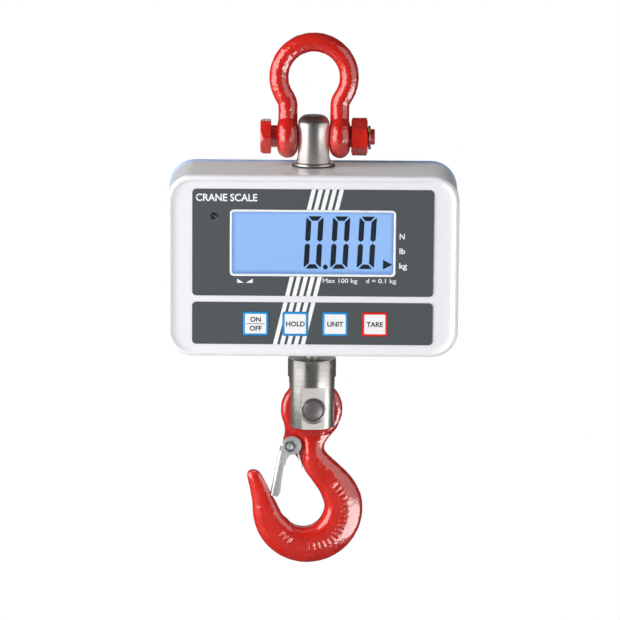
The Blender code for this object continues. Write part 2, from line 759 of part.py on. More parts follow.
def bowl_station(degrees):
    """The inner and outer points of the hook's bowl on one ray from the inner circle's centre."""
    turn = math.radians(degrees)
    ray = Vector((math.cos(turn), math.sin(turn)))
    inner_centre = Vector(BOWL_INNER[:2])
    offset = inner_centre - Vector(BOWL_OUTER[:2])
    along = offset.dot(ray)
    reach = -along + math.sqrt(along * along - offset.length_squared + BOWL_OUTER[2] ** 2)
    return inner_centre + ray * BOWL_INNER[2], inner_centre + ray * reach


def hook_stations():
    """(inner point, outer point, half thickness) from the eye down, round the bowl, to the tip."""
    shank = [
        ((-9.0, -168.4), (16.2, -169.3), 4.0),
        ((-8.0, -172.0), (14.4, -172.8), 4.4),
        ((-6.6, -176.2), (11.4, -176.3), 5.0),
        ((-5.4, -179.6), (8.6, -179.9), 5.8),
        ((-4.9, -182.8), (7.4, -183.4), 6.4),
        ((-4.7, -186.2), (8.3, -186.4), 6.8),
        ((-4.8, -191.2), (12.0, -190.2), 7.0),
        ((-3.9, -196.9), (17.4, -195.2), 7.4),
        ((0.9, -203.9), (23.5, -201.6), 7.8),
        ((5.2, -210.4), (27.5, -208.0), 8.0),
    ]
    bowl = []
    for step in range(11):
        degrees = 7.5 - 15.0 * step
        inner, outer = bowl_station(degrees)
        bowl.append((tuple(inner), tuple(outer), 8.1 - 1.6 * (step / 12) ** 2))
    tip = [
        ((-16.6, -223.9), (-32.3, -230.8), 6.7),
        ((-18.6, -220.2), (-34.0, -223.2), 6.5),
        ((-20.4, -216.4), (-34.4, -216.6), 6.1),
        ((-22.7, -212.4), (-35.2, -211.4), 5.7),
        ((-24.9, -207.8), (-36.2, -206.4), 5.2),
        ((-27.4, -203.0), (-37.2, -202.0), 4.7),
        ((-29.5, -199.4), (-37.3, -199.2), 3.8),
        ((-31.4, -197.6), (-36.0, -197.3), 2.3),
    ]
    return shank + bowl + tip


def hook_ring(inner, outer, half):
    """A rounded section whose flat inner facet lies on the inner point."""
    corners, squareness = 12, 2.0 / 2.4
    inner = Vector((inner[0], 0, inner[1] + HOOK_RISE))
    outer = Vector((outer[0], 0, outer[1] + HOOK_RISE))
    middle = (inner + outer) / 2
    reach = outer - middle
    facet = math.cos(math.pi / corners) ** squareness
    ring = []
    for i in range(corners):
        turn = math.tau * (i + 0.5) / corners
        across, through = math.cos(turn), math.sin(turn)
        across = math.copysign(abs(across) ** squareness, across) / facet
        through = math.copysign(abs(through) ** squareness, through)
        ring.append(middle + reach * across + Vector((0, half * through, 0)))
    return ring


def make_hook():
    hook = add_part("hook", loft([hook_ring(*station) for station in hook_stations()]),
                    red_paint(), (0, 0, PIN_Z))
    half = EYE_DISC_HALF
    disc = [(0, -half), (15.5, -half), (17.2, -half + 1.0), (EYE_DISC_RADIUS, -half + 2.8),
            (EYE_DISC_RADIUS, half - 2.8), (17.2, half - 1.0), (15.5, half), (0, half)]
    join(hook, turned(disc, "Y", (0, 0, PIN_Z - EYE_DISC_DROP), 28))
    lug = [(-16.2, -169.4), (-15.6, -171.6), (-15.4, -173.4), (-15.7, -176.4)]
    lug += arc(LATCH_X, -182.0, 3.9, 150, 270, 6)
    lug += [(-9.6, -187.6), (-4.0, -196.0), (0.0, -196.0), (0.0, -169.4)]
    join(hook, prism([(x, z + HOOK_RISE) for x, z in lug], -LUG_HALF, LUG_HALF))
    cut(hook, rod(PIN_RADIUS + GAP, -20, 20, "Y", (0, 0, PIN_Z), 20))
    cut(hook, rod(1.8, -20, 20, "Y", (LATCH_X, 0, LATCH_Z), 12))


def from_rivet(points):
    return [(LATCH_X + x, LATCH_Z + z) for x, z in points]


def make_latch():
    """A folded channel: two cheeks with ears on the rivet and a web that closes on the tip."""
    ear = arc(1.3, 0.0, 5.4, 160, -100, 13)
    cheek = ear + [(-1.5, -7.1), (-2.9, -10.2), (-3.4, -13.0), (-4.6, -26.6), (-5.2, -27.3),
                   (-7.0, -29.8), (-10.1, -29.4), (-5.2, -3.4)]
    latch = add_part("latch", prism(from_rivet(cheek), -LATCH_HALF, LATCH_HALF), zinc(),
                     (LATCH_X, 0, LATCH_Z))
    inside = [(-20.0, 20.0), (-20.0, -3.4), (-3.8, -3.4), (-9.0, -30.0), (-9.0, -40.0),
              (20.0, -40.0), (20.0, 20.0)]
    inner_half = LATCH_HALF - LATCH_SHEET
    cut(latch, prism(from_rivet(inside), -inner_half, inner_half))
    narrower = [(-2.6, -9.6), (-4.2, -12.6), (-5.6, -19.6), (-6.3, -27.0), (-6.3, -40.0),
                (20.0, -40.0), (20.0, -9.6)]
    cut(latch, prism(from_rivet(narrower), -20, 0))
    cut(latch, rod(1.8, -20, 20, "Y", (LATCH_X, 0, LATCH_Z), 12))
    seat, top = LATCH_HALF + 0.2, LATCH_HALF + 0.9
    rivet = [(0, -top), (1.5, -top), (1.9, -top + 0.4), (1.9, -seat), (1.5, -seat), (1.5, seat),
             (1.9, seat), (1.9, top - 0.4), (1.5, top), (0, top)]
    add_part("latch_rivet", turned(rivet, "Y", (LATCH_X, 0, LATCH_Z), 16), zinc(),
             (LATCH_X, 0, LATCH_Z))


def make_latch_spring():
    """A torsion spring round the rivet: one leg on the latch's web, one on the hook's back."""
    wire, coil, near, far = 0.4, 2.7, -3.7, -3.1
    turns, steps = 1.5, 16
    start = math.radians(200.0)
    points = [(-4.4, near, -12.0), (-3.0, near, -4.6)]
    for step in range(steps + 1):
        turn = start - math.tau * turns * step / steps
        points.append((coil * math.cos(turn), near + (far - near) * step / steps,
                       coil * math.sin(turn)))
    points += [(4.6, far, -3.4), (7.4, far, -13.6)]
    points = [(LATCH_X + x, y, LATCH_Z + z) for x, y, z in points]
    add_wire("latch_spring", points, wire, zinc(), (LATCH_X, 0, LATCH_Z))


def turn_swivel():
    """Turns the clevis, the hook and their tools together about the load line."""
    names = ("clevis", "clevis_pin", "thrust_washer", "hook", "latch", "latch_rivet",
             "latch_spring")
    turn = Matrix.Rotation(SWIVEL_REST, 4, "Z")
    for obj in bpy.data.objects:
        if obj.name.split("_tool_")[0] in names:
            obj.matrix_basis = turn @ Matrix.Translation(obj.location)


make_front_cover()
make_overlays()
make_display()
make_board()
make_keys()
make_case()
make_seal()
make_rear_cover()
make_battery_door()
make_screws()
make_batteries()
make_load_cell()
make_stud()
make_swivel()
make_cables()
make_shackle()
make_shackle_bolt()
make_clevis()
make_hook()
make_latch()
make_latch_spring()
turn_swivel()
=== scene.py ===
"""The looks of the crane scale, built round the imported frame.

Shapes are drawn in millimetres from the centre of the shackle's bolt, with the display facing -Y,
and add_piece() puts them in the frame's metres. Driving sizes are read from the CAD nodes' boxes.
"""

import json
import math
from math import cos, pi, radians, sin, tau

import bmesh
import bpy
from mathutils import Matrix, Vector, noise


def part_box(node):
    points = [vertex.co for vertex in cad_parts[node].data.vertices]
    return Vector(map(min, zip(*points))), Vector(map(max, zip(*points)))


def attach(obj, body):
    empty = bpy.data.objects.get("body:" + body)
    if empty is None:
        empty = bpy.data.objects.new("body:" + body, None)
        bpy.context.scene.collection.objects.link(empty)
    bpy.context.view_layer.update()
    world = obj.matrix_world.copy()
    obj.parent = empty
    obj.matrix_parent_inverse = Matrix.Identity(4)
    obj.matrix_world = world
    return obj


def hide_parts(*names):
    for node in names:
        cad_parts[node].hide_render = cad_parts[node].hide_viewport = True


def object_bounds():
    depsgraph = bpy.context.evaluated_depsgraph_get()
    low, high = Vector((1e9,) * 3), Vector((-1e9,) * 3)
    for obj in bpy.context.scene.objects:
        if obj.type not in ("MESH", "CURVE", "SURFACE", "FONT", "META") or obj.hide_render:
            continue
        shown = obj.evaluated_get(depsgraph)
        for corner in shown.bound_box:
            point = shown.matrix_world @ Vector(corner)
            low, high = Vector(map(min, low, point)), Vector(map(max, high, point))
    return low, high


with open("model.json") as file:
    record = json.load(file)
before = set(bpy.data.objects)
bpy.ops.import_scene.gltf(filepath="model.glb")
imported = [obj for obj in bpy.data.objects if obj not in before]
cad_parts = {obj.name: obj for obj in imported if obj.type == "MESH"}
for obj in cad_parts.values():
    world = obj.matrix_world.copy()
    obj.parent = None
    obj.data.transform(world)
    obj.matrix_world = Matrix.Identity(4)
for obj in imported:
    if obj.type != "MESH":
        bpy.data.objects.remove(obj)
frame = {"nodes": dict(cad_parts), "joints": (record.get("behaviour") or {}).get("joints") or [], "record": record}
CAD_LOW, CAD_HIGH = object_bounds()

MM = 0.001
WELD = 1e-4  # points closer than this, in millimetres, are one
BOLT_LOW, BOLT_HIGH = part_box("shackle_bolt")
BOLT_Z = (BOLT_LOW.z + BOLT_HIGH.z) / 2
BOLT = Vector((0, 0, BOLT_Z))
SWING_AXIS = next(j for j in frame["joints"] if j["name"] == "hook_swing")["axis"]
SWIVEL_REST = math.atan2(-SWING_AXIS[0], SWING_AXIS[1])


def span(node):
    """A CAD node's (lowest, highest) corner in millimetres from the bolt's centre."""
    low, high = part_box(node)
    return (low - BOLT) / MM, (high - BOLT) / MM


def rectangle(node):
    """A node's (left, right, top, bottom)."""
    low, high = span(node)
    return low.x, high.x, high.z, low.z


def axis_at(node):
    """Where the line along Y through a node's middle crosses y = 0."""
    low, high = span(node)
    middle = (low + high) / 2
    return middle.x, 0, middle.z


# ---- shapes, in millimetres


def arc(x, z, radius, start, end, steps):
    """(x, z) points on an arc, its angles in degrees."""
    turns = [radians(start + (end - start) * i / steps) for i in range(steps + 1)]
    return [(x + radius * cos(t), z + radius * sin(t)) for t in turns]


def rounded(bounds, corner, steps=10):
    """(x, z) points round a rectangle given as (left, right, top, bottom)."""
    left, right, top, bottom = bounds
    return (arc(right - corner, top - corner, corner, 0, 90, steps)
            + arc(left + corner, top - corner, corner, 90, 180, steps)
            + arc(left + corner, bottom + corner, corner, 180, 270, steps)
            + arc(right - corner, bottom + corner, corner, 270, 360, steps))


def grown(bounds, margin):
    left, right, top, bottom = bounds
    return left - margin, right + margin, top + margin, bottom - margin


def loft(rings, closed=False):
    """Skins equal rings of points. An open loft is capped at both ends."""
    mesh = bmesh.new()
    skins = [[mesh.verts.new(point) for point in ring] for ring in rings]
    following = skins[1:] + (skins[:1] if closed else [])
    for low, high in zip(skins, following):
        for i in range(len(low)):
            j = (i + 1) % len(low)
            mesh.faces.new((low[i], low[j], high[j], high[i]))
    if not closed:
        mesh.faces.new(skins[0])
        mesh.faces.new(skins[-1])
    bmesh.ops.recalc_face_normals(mesh, faces=mesh.faces)
    return mesh


def prism(points, front, back):
    """An (x, z) outline carried from one y to another."""
    return loft([[(x, y, z) for x, z in points] for y in (front, back)])


def panel(bounds, corner, profile, steps=10, closed=False):
    """A rounded rectangle lofted through (inset, y) steps."""
    rings = []
    for inset, y in profile:
        outline = rounded(grown(bounds, -inset), max(corner - inset, 0.05), steps)
        rings.append([(x, y, z) for x, z in outline])
    return loft(rings, closed)


AXIS_TURN = {
    "X": Matrix.Rotation(radians(90), 4, "Y"),
    "Y": Matrix.Rotation(radians(-90), 4, "X"),
    "Z": Matrix.Identity(4),
}


def turned(profile, axis="Z", centre=(0, 0, 0), steps=96, hollow=False):
    """A lathe shape from (radius, distance along the axis) points."""
    mesh = bmesh.new()
    verts = [mesh.verts.new((radius, 0, along)) for radius, along in profile]
    pairs = list(zip(verts, verts[1:])) + ([(verts[-1], verts[0])] if hollow else [])
    edges = [mesh.edges.new(pair) for pair in pairs]
    bmesh.ops.spin(
        mesh, geom=verts + edges, cent=(0, 0, 0), axis=(0, 0, 1), angle=tau,
        steps=steps, use_merge=True,
    )
    bmesh.ops.remove_doubles(mesh, verts=mesh.verts, dist=WELD)
    bmesh.ops.recalc_face_normals(mesh, faces=mesh.faces)
    mesh.transform(Matrix.Translation(Vector(centre)) @ AXIS_TURN[axis])
    return mesh


def mirror(profile):
    """The other half of a lathe profile that is even about 0."""
    return [(radius, -along) for radius, along in reversed(profile)]


def rod(radius, start, end, axis="Z", centre=(0, 0, 0), steps=64):
    return turned([(0, start), (radius, start), (radius, end), (0, end)], axis, centre, steps)


def box(left, right, front, back, bottom, top):
    outline = [(left, bottom), (right, bottom), (right, top), (left, top)]
    return prism(outline, front, back)


def merged(*parts):
    """Separate shapes held in one mesh. Each keeps its material indices."""
    whole = bmesh.new()
    for part in parts:
        held = bpy.data.meshes.new("held")
        part.to_mesh(held)
        part.free()
        whole.from_mesh(held)
        bpy.data.meshes.remove(held)
    return whole


def painted(mesh, index):
    """Gives every face of a mesh one material index."""
    for face in mesh.faces:
        face.material_index = index
    return mesh


def configure(target, **settings):
    for key, value in settings.items():
        setattr(target, key, value)


def linked(name, data):
    """A new object in the scene."""
    obj = bpy.data.objects.new(name, data)
    bpy.context.scene.collection.objects.link(obj)
    return obj


def held_object(mesh):
    data = bpy.data.meshes.new("held")
    mesh.to_mesh(data)
    mesh.free()
    return linked("held", data)


def modify(obj, kind, **settings):
    configure(obj.modifiers.new(kind.lower(), kind), **settings)


def evaluated(obj, *others):
    """The object's mesh with its modifiers applied, as a bmesh. The objects are removed."""
    graph = bpy.context.evaluated_depsgraph_get()
    graph.update()
    result = bmesh.new()
    data = bpy.data.meshes.new_from_object(obj.evaluated_get(graph), depsgraph=graph)
    result.from_mesh(data)
    bpy.data.meshes.remove(data)
    for used in (obj, *others):
        bpy.data.objects.remove(used, do_unlink=True)
    return result


def combine(mesh, tool, operation="DIFFERENCE"):
    """A Boolean between two closed meshes."""
    body, other = held_object(mesh), held_object(tool)
    modify(body, "BOOLEAN", operation=operation, solver="EXACT", object=other)
    return evaluated(body, other)


def cut(mesh, *tools):
    """Takes each tool away in turn."""
    for tool in tools:
        mesh = combine(mesh, tool)
    return mesh


def softened(mesh, width, segments=3, angle=30.0):
    """Rounds the edges sharper than an angle."""
    body = held_object(mesh)
    modify(body, "BEVEL", width=width, segments=segments, limit_method="ANGLE",
           angle_limit=radians(angle), use_clamp_overlap=True)
    return evaluated(body)


def fused(mesh, voxel, rounds):
    """Melts overlapping shapes into one skin and smooths their joins, as in a forging."""
    body = held_object(mesh)
    modify(body, "REMESH", mode="VOXEL", voxel_size=voxel)
    modify(body, "SMOOTH", factor=0.5, iterations=rounds)
    return evaluated(body)


def wire(points, radius, resolution=6, smooth=True):
    """A round wire through points."""
    curve = bpy.data.curves.new("held", "CURVE")
    configure(curve, dimensions="3D", bevel_depth=radius, bevel_resolution=resolution,
              use_fill_caps=True)
    spline = curve.splines.new("NURBS" if smooth else "POLY")
    spline.points.add(len(points) - 1)
    for point, at in zip(spline.points, points):
        point.co = (*at, 1.0)
    if smooth:
        configure(spline, order_u=4, use_endpoint_u=True, resolution_u=6)
    mesh = evaluated(linked("held", curve))
    bmesh.ops.remove_doubles(mesh, verts=mesh.verts, dist=WELD)
    return mesh


CAPITAL = 0.7  # capital height of the built-in font at size 1


def lettering(words, height, x, z, front, back, align="CENTER", weight=0.0, stretch=1.0):
    """Plain raised lettering whose capitals are `height` high, standing on the line z."""
    text = bpy.data.curves.new("held", "FONT")
    configure(text, body=words, align_x=align, size=1.0, offset=weight, resolution_u=4, extrude=0.5)
    mesh = evaluated(linked("held", text))
    size = height / CAPITAL
    deep = Matrix.Diagonal((size * stretch, size, back - front, 1.0))
    upright = Matrix.Rotation(radians(90), 4, "X")
    mesh.transform(Matrix.Translation(Vector((x, (front + back) / 2, z))) @ upright @ deep)
    bmesh.ops.remove_doubles(mesh, verts=mesh.verts, dist=WELD)
    return mesh


# ---- materials


def linear(value):
    """One sRGB channel, 0 to 255, as Blender's linear value."""
    share = value / 255.0
    return share / 12.92 if share <= 0.04045 else ((share + 0.055) / 1.055) ** 2.4


def rgb(colour):
    return (*map(linear, colour), 1.0)


class Nodes:
    """A short way to write the node tree of a new material, or of a world."""

    def __init__(self, name, world=None):
        self.material = world or bpy.data.materials.new(name)
        self.material.use_nodes = True
        self.tree = self.material.node_tree
        self.shader = self.tree.nodes.get("Principled BSDF")
        self.coords = self.add("ShaderNodeTexCoord").outputs["Object"]

    def add(self, kind, settings=(), **inputs):
        node = self.tree.nodes.new(kind)
        configure(node, **dict(settings))
        self.feed_all(node, inputs)
        return node

    def feed(self, socket, value):
        if isinstance(value, bpy.types.NodeSocket):
            self.tree.links.new(value, socket)
        else:
            socket.default_value = value

    def feed_all(self, node, inputs):
        for key, value in inputs.items():
            self.feed(node.inputs[key.replace("_", " ")], value)

    def set(self, **inputs):
        self.feed_all(self.shader, inputs)

    def noise(self, size, stretch=(1, 1, 1), detail=3.0, roughness=0.5):
        """Noise whose features are about `size` millimetres, longer where stretch is large."""
        scale = [1.0 / (size * MM * s) for s in stretch]
        mapped = self.add("ShaderNodeMapping", Vector=self.coords, Scale=scale).outputs[0]
        return self.add("ShaderNodeTexNoise", Vector=mapped, Scale=1.0, Detail=detail,
                        Roughness=roughness).outputs["Fac"]

    def span(self, value, low, high, start=0.3, end=0.7):
        """Carries start..end of a value to low..high."""
        node = self.add("ShaderNodeMapRange", Value=value)
        self.feed_all(node, {"From_Min": start, "From_Max": end, "To_Min": low, "To_Max": high})
        return node.outputs["Result"]

    def mix(self, factor, first, second):
        node = self.add("ShaderNodeMix", {"data_type": "RGBA"})
        for index, value in ((0, factor), (6, first), (7, second)):
            self.feed(node.inputs[index], value)
        return node.outputs[2]

    def math(self, operation, first, second=0.0, third=0.0):
        node = self.add("ShaderNodeMath", {"operation": operation})
        for socket, value in zip(node.inputs, (first, second, third)):
            self.feed(socket, value)
        return node.outputs[0]

    def bump(self, height, distance, normal=None):
        node = self.add("ShaderNodeBump", Height=height, Distance=distance * MM, Strength=1.0)
        if normal:
            self.feed(node.inputs["Normal"], normal)
        return node.outputs["Normal"]

    def mix_shaders(self, factor, first, second):
        """Makes the surface a mix of two shaders."""
        blend = self.add("ShaderNodeMixShader")
        for socket, value in zip(blend.inputs, (factor, first, second)):
            self.feed(socket, value)
        self.feed(self.tree.nodes["Material Output"].inputs["Surface"], blend.outputs[0])


def surface(name, colour, other, roughness, size, bump=0.0, metallic=0.0, spread=0.06,
            stretch=(1, 1, 1), **inputs):
    """A material whose colour, roughness and relief all vary with one fine noise."""
    nodes = Nodes(name)
    grain = nodes.noise(size, stretch)
    cloud = nodes.noise(size * 14, detail=2.0)
    blend = nodes.math("MULTIPLY_ADD", grain, 0.6, nodes.math("MULTIPLY", cloud, 0.4))
    nodes.set(Base_Color=nodes.mix(nodes.span(blend, 0.0, 1.0), rgb(colour), rgb(other)),
              Roughness=nodes.span(blend, roughness - spread, roughness + spread),
              Metallic=metallic, **inputs)
    if bump:
        nodes.set(Normal=nodes.bump(grain, bump))
    return nodes.material


def red_paint():
    """Thick gloss enamel over forged steel: orange peel on the paint, slow lumps beneath."""
    nodes = Nodes("red_enamel")
    peel = nodes.noise(0.9, detail=2.0)
    lumps = nodes.noise(4.2, detail=3.0, roughness=0.6)
    tone = nodes.noise(9.0, detail=4.0)
    nodes.set(
        Base_Color=nodes.mix(nodes.span(tone, 0.0, 1.0), rgb((214, 36, 20)), rgb((200, 24, 14))),
        Roughness=nodes.span(lumps, 0.16, 0.3),
        Specular_IOR_Level=0.7,
        Coat_Weight=1.0,
        Coat_IOR=1.7,
        Coat_Roughness=0.07,
        Normal=nodes.bump(peel, 0.05, nodes.bump(lumps, 0.14)),
    )
    return nodes.material


def turned_steel(name, low, high, roughness=0.24, line=0.12, metallic=1.0):
    """Lathe-turned stainless steel: fine rings round Z that spread a reflection up and down."""
    nodes = Nodes(name)
    rings = nodes.noise(line, (60, 60, 1), detail=4.0, roughness=0.7)
    stain = nodes.noise(2.2, (2, 2, 1), detail=4.0)
    tangent = nodes.add("ShaderNodeTangent", {"direction_type": "RADIAL", "axis": "Z"})
    nodes.set(
        Base_Color=nodes.mix(nodes.span(rings, 0.0, 1.0), rgb(low), rgb(high)),
        Roughness=nodes.span(stain, roughness - 0.04, roughness + 0.08),
        Metallic=metallic,
        Anisotropic=0.6,
        Anisotropic_Rotation=0.25,
        Tangent=tangent.outputs[0],
        Normal=nodes.bump(rings, 0.006),
    )
    return nodes.material


def speckled_steel(name, low, high, roughness, metallic=1.0):
    """Milled steel, dull and slightly mottled. A darker copy of it paints shade on the stud's dome and in the
    latch's recess.
    """
    nodes = Nodes(name)
    speck = nodes.noise(0.35, detail=3.0, roughness=0.7)
    stain = nodes.noise(4.0, detail=4.0)
    nodes.set(
        Base_Color=nodes.mix(nodes.span(speck, 0.0, 1.0), rgb(low), rgb(high)),
        Roughness=nodes.span(stain, roughness - 0.05, roughness + 0.08),
        Metallic=metallic,
        Normal=nodes.bump(speck, 0.02),
    )
    return nodes.material


def lit_crystal(bounds):
    """The lit display: pale blue, deepening towards the window's edges as a painted shadow of the frame."""
    nodes = Nodes("lit_display")
    left, right, top, bottom = bounds
    parts = nodes.add("ShaderNodeSeparateXYZ", Vector=nodes.coords)
    across = nodes.math("MULTIPLY", parts.outputs["X"], 1.0 / MM)
    up = nodes.math("MULTIPLY_ADD", parts.outputs["Z"], 1.0 / MM, -BOLT_Z / MM)
    sides = []
    for value, middle, half in ((across, (left + right) / 2, (right - left) / 2),
                                (up, (top + bottom) / 2, (top - bottom) / 2)):
        away = nodes.math("ABSOLUTE", nodes.math("SUBTRACT", value, middle))
        sides.append(nodes.math("SUBTRACT", half, away))
    inward = nodes.math("MINIMUM", *sides)
    # painted shadow: the blue deepens over the last 2.6 mm in from the window's edges
    edge = nodes.span(inward, 1.0, 0.0, 0.0, 2.6)
    cloud = nodes.span(nodes.noise(30.0, detail=1.0), 0.0, 1.0)
    field = nodes.mix(cloud, rgb((148, 188, 246)), rgb((153, 193, 249)))
    backlight_with_painted_shadow = nodes.mix(nodes.math("POWER", edge, 1.6), field, rgb((108, 150, 208)))
    nodes.set(Base_Color=(0.02, 0.03, 0.05, 1.0), Roughness=0.3, Emission_Color=backlight_with_painted_shadow,
              Emission_Strength=1.0)
    return nodes.material


def clear_pane():
    """Clear acrylic: what is behind it, with a faint reflection at its surface."""
    nodes = Nodes("clear_pane")
    haze = nodes.span(nodes.noise(6.0), 0.02, 0.06)
    through = nodes.add("ShaderNodeBsdfTransparent", Color=(1, 1, 1, 1))
    shine = nodes.add("ShaderNodeBsdfGlossy", Roughness=haze, Color=(1, 1, 1, 1))
    facing = nodes.add("ShaderNodeFresnel", IOR=1.35)
    share = nodes.math("MULTIPLY", facing.outputs[0], 0.6)
    nodes.mix_shaders(share, through.outputs[0], shine.outputs[0])
    return nodes.material


# A surface() row: name, two tones, roughness, grain size in millimetres, relief, metallic.
MATERIALS = {
    "red_paint": red_paint(),
    "stud_steel": turned_steel("brushed_stainless", (212, 210, 206), (234, 232, 228), 0.36, 0.1),
    "clevis_steel": turned_steel("turned_stainless", (142, 139, 135), (190, 188, 184), 0.3, 0.2,
                                 0.86),
    "milled_steel": speckled_steel("milled_stainless", (200, 197, 193), (218, 216, 212), 0.5, 0.3),
    # a darker copy of the stud's steel: painted shade on the stud's upward dome and in the latch's recess
    "steel_painted_shade": speckled_steel("speckled_stainless_painted_shade", (120, 117, 114), (190, 187, 183), 0.42),
    "zinc_plated_steel": surface("zinc_plate", (170, 173, 176), (190, 193, 196), 0.36, 0.8, 0.01, 0.45),
    # a near-white, almost matt copy of the zinc plate: a painted highlight on the latch's bend and web and on the
    # spring
    "zinc_painted_highlight": surface("zinc_painted_highlight", (244, 245, 246), (252, 253, 253), 0.45, 0.6, 0.006,
                           Specular_IOR_Level=0.1),
    "dark_steel": surface("blackened_steel", (108, 105, 104), (124, 121, 120), 0.36, 0.7, 0.012, 0.4),
    "brass": surface("tarnished_brass", (122, 84, 52), (158, 112, 68), 0.42, 0.5, 0.03, 0.9),
    "aluminium": surface("milled_aluminium", (198, 200, 203), (216, 218, 221), 0.38, 0.3, 0.01,
                         1.0, stretch=(12, 1, 1)),
    "white_plastic": surface("white_housing", (243, 243, 246), (238, 238, 242), 0.42, 0.5, 0.006),
    "grey_plastic": surface("pale_housing", (228, 228, 229), (223, 223, 224), 0.2, 0.5, 0.003),
    "black_plastic": surface("black_moulding", (34, 35, 37), (44, 45, 48), 0.5, 0.6, 0.01),
    "black_rubber": surface("black_rubber", (24, 24, 24), (34, 34, 34), 0.75, 0.5, 0.02),
    # the seal's pale blue is a painted reflection of cool light along the case's rear edge
    "blue_silicone": surface("blue_silicone", (150, 182, 232), (160, 192, 240), 0.5, 0.8, 0.01),
    "grey_film": surface("panel_film", (71, 76, 79), (74, 79, 82), 0.5, 0.3, 0.004, spread=0.03),
    "white_ink": surface("white_ink", (250, 250, 251), (245, 245, 247), 0.5, 0.6, 0.003),
    "dark_ink": surface("dark_ink", (40, 42, 46), (50, 52, 56), 0.5, 0.4, 0.003),
    "crystal_ink": surface("crystal_segment", (30, 40, 52), (38, 50, 64), 0.4, 1.5, 0.002),
    "key_film": surface("key_face", (248, 248, 250), (243, 243, 246), 0.45, 0.5, 0.004),
    "key_blue": surface("key_blue", (0, 144, 214), (0, 152, 222), 0.45, 0.5, 0.004),
    "key_red": surface("key_red", (236, 0, 12), (226, 2, 14), 0.45, 0.5, 0.004),
    "clear_acrylic": clear_pane(),
    "led_lens": surface("led_lens", (26, 18, 14), (58, 40, 30), 0.1, 1.2, 0.003, Coat_Weight=1.0),
    "light_guide": surface("light_guide", (222, 232, 250), (232, 240, 255), 0.5, 1.0, 0.004),
    "circuit_board": surface("circuit_board", (20, 80, 48), (30, 98, 60), 0.45, 1.4, 0.02),
    "battery_sleeve": surface("battery_sleeve", (56, 58, 64), (68, 70, 76), 0.3, 2.0, 0.004),
    "cable_jacket": surface("cable_jacket", (42, 42, 45), (54, 54, 58), 0.6, 0.5, 0.02),
}


# ---- pieces


SLOTS = {row["node"]: row["material_slot"] for row in frame["record"]["subparts"]}
TURNED_BODIES = ("swivel", "hook", "latch")  # drawn square to the view, at the swivel's rest turn


def add_piece(name, mesh, body, *finishes, sharp=32.0):
    """Puts a millimetre mesh in the frame as a piece that rides on a body.

    A piece that has the name of a CAD node stands for it, and that node is hidden.
    """
    in_frame = Matrix.Translation(BOLT) @ Matrix.Scale(MM, 4)
    if body in TURNED_BODIES:
        in_frame = in_frame @ Matrix.Rotation(SWIVEL_REST, 4, "Z")
    mesh.transform(in_frame)
    data = bpy.data.meshes.new(name)
    mesh.to_mesh(data)
    mesh.free()
    data.shade_smooth()
    data.set_sharp_from_angle(angle=radians(sharp))
    for finish in finishes:
        data.materials.append(MATERIALS[finish])
    obj = linked(name, data)
    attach(obj, body)
    if name in SLOTS:
        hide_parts(name)


HEAD = "weighing_head"
CASE = rectangle("middle_case")
CASE_CORNER = 15.0
FRONT = span("front_cover")[0].y
FIELD = FRONT + 1.0
FILM_FRONT = span("display_overlay")[0].y
PRINT = 0.04  # how far printed ink stands off its film
WINDOW = rectangle("window_frame")
WINDOW_BORDER = 1.2
KEYS = ("on_off", "hold", "unit", "tare")
SCREWS = {f"case_screw_{corner}": axis_at(f"case_screw_{corner}")
          for corner in ("upper_left", "upper_right", "lower_left", "lower_right")}
THROUGH_FRONT = (-45, -30)  # the y range of a cut through the front
KEY_FLANGE, KEY_CORNER = 1.2, 1.2


def key_cap(name):
    """The visible cap of a key. Its node also has a flange all round, behind the panel."""
    return grown(rectangle(f"key_{name}"), -KEY_FLANGE)


def key_openings(margin):
    return [panel(grown(key_cap(name), margin), KEY_CORNER + margin,
                  [(0, y) for y in THROUGH_FRONT], 6) for name in KEYS]


def display_openings():
    """Cutters for the window and the status light."""
    return [panel(grown(WINDOW, 0.1), 2.5, [(0, y) for y in THROUGH_FRONT]),
            rod(2.15, *THROUGH_FRONT, "Y", axis_at("status_led"))]


def case_ring(profile, closed=False):
    return panel(CASE, CASE_CORNER, profile, 24, closed)


def make_housing():
    rim = [(0.6, -38.0), (0.2, -38.1), (0, -38.4), (0, -39.9), (0.14, -40.8), (0.45, -41.5),
           (0.9, -42.0), (1.4, -42.28), (1.9, -42.42), (2.25, -42.38), (2.55, -42.2),
           (3.0, -41.84), (3.4, -41.52), (3.8, -41.3), (4.3, -41.17), (5.0, -41.08),
           (5.8, -41.03), (6.8, FIELD)]
    lip = case_ring([(2.8, -39), (2.8, -34), (4.8, -34), (4.8, -39)], True)
    cover = combine(case_ring(rim), lip, "UNION")
    holes = merged(*display_openings(), *key_openings(0.25))
    add_piece("front_cover", cut(cover, holes), HEAD, "white_plastic")
    low, high = span("middle_case")
    wall = 2.5
    tube = [(0.5, low.y), (0, low.y + 0.4), (0, high.y - 0.4), (0.4, high.y), (wall, high.y),
            (wall, low.y)]
    holes = merged(rod(7.2, CASE[2] - 6, CASE[2] + 6), rod(8.0, CASE[3] - 6, CASE[3] + 6))
    add_piece("middle_case", cut(case_ring(tube, True), holes), HEAD, "grey_plastic")
    # The seal is a thin ring round the case's rear edge; its pale blue is a painted reflection of cool light
    # there.
    low, high = span("case_seal")
    ring = [(-0.1, low.y), (-0.42, low.y + 0.12), (-0.6, low.y + 0.5), (-0.6, high.y - 0.5),
            (-0.42, high.y - 0.12), (-0.1, high.y), (2.3, high.y), (2.3, low.y)]
    add_piece("case_seal", case_ring(ring, True), HEAD, "blue_silicone")


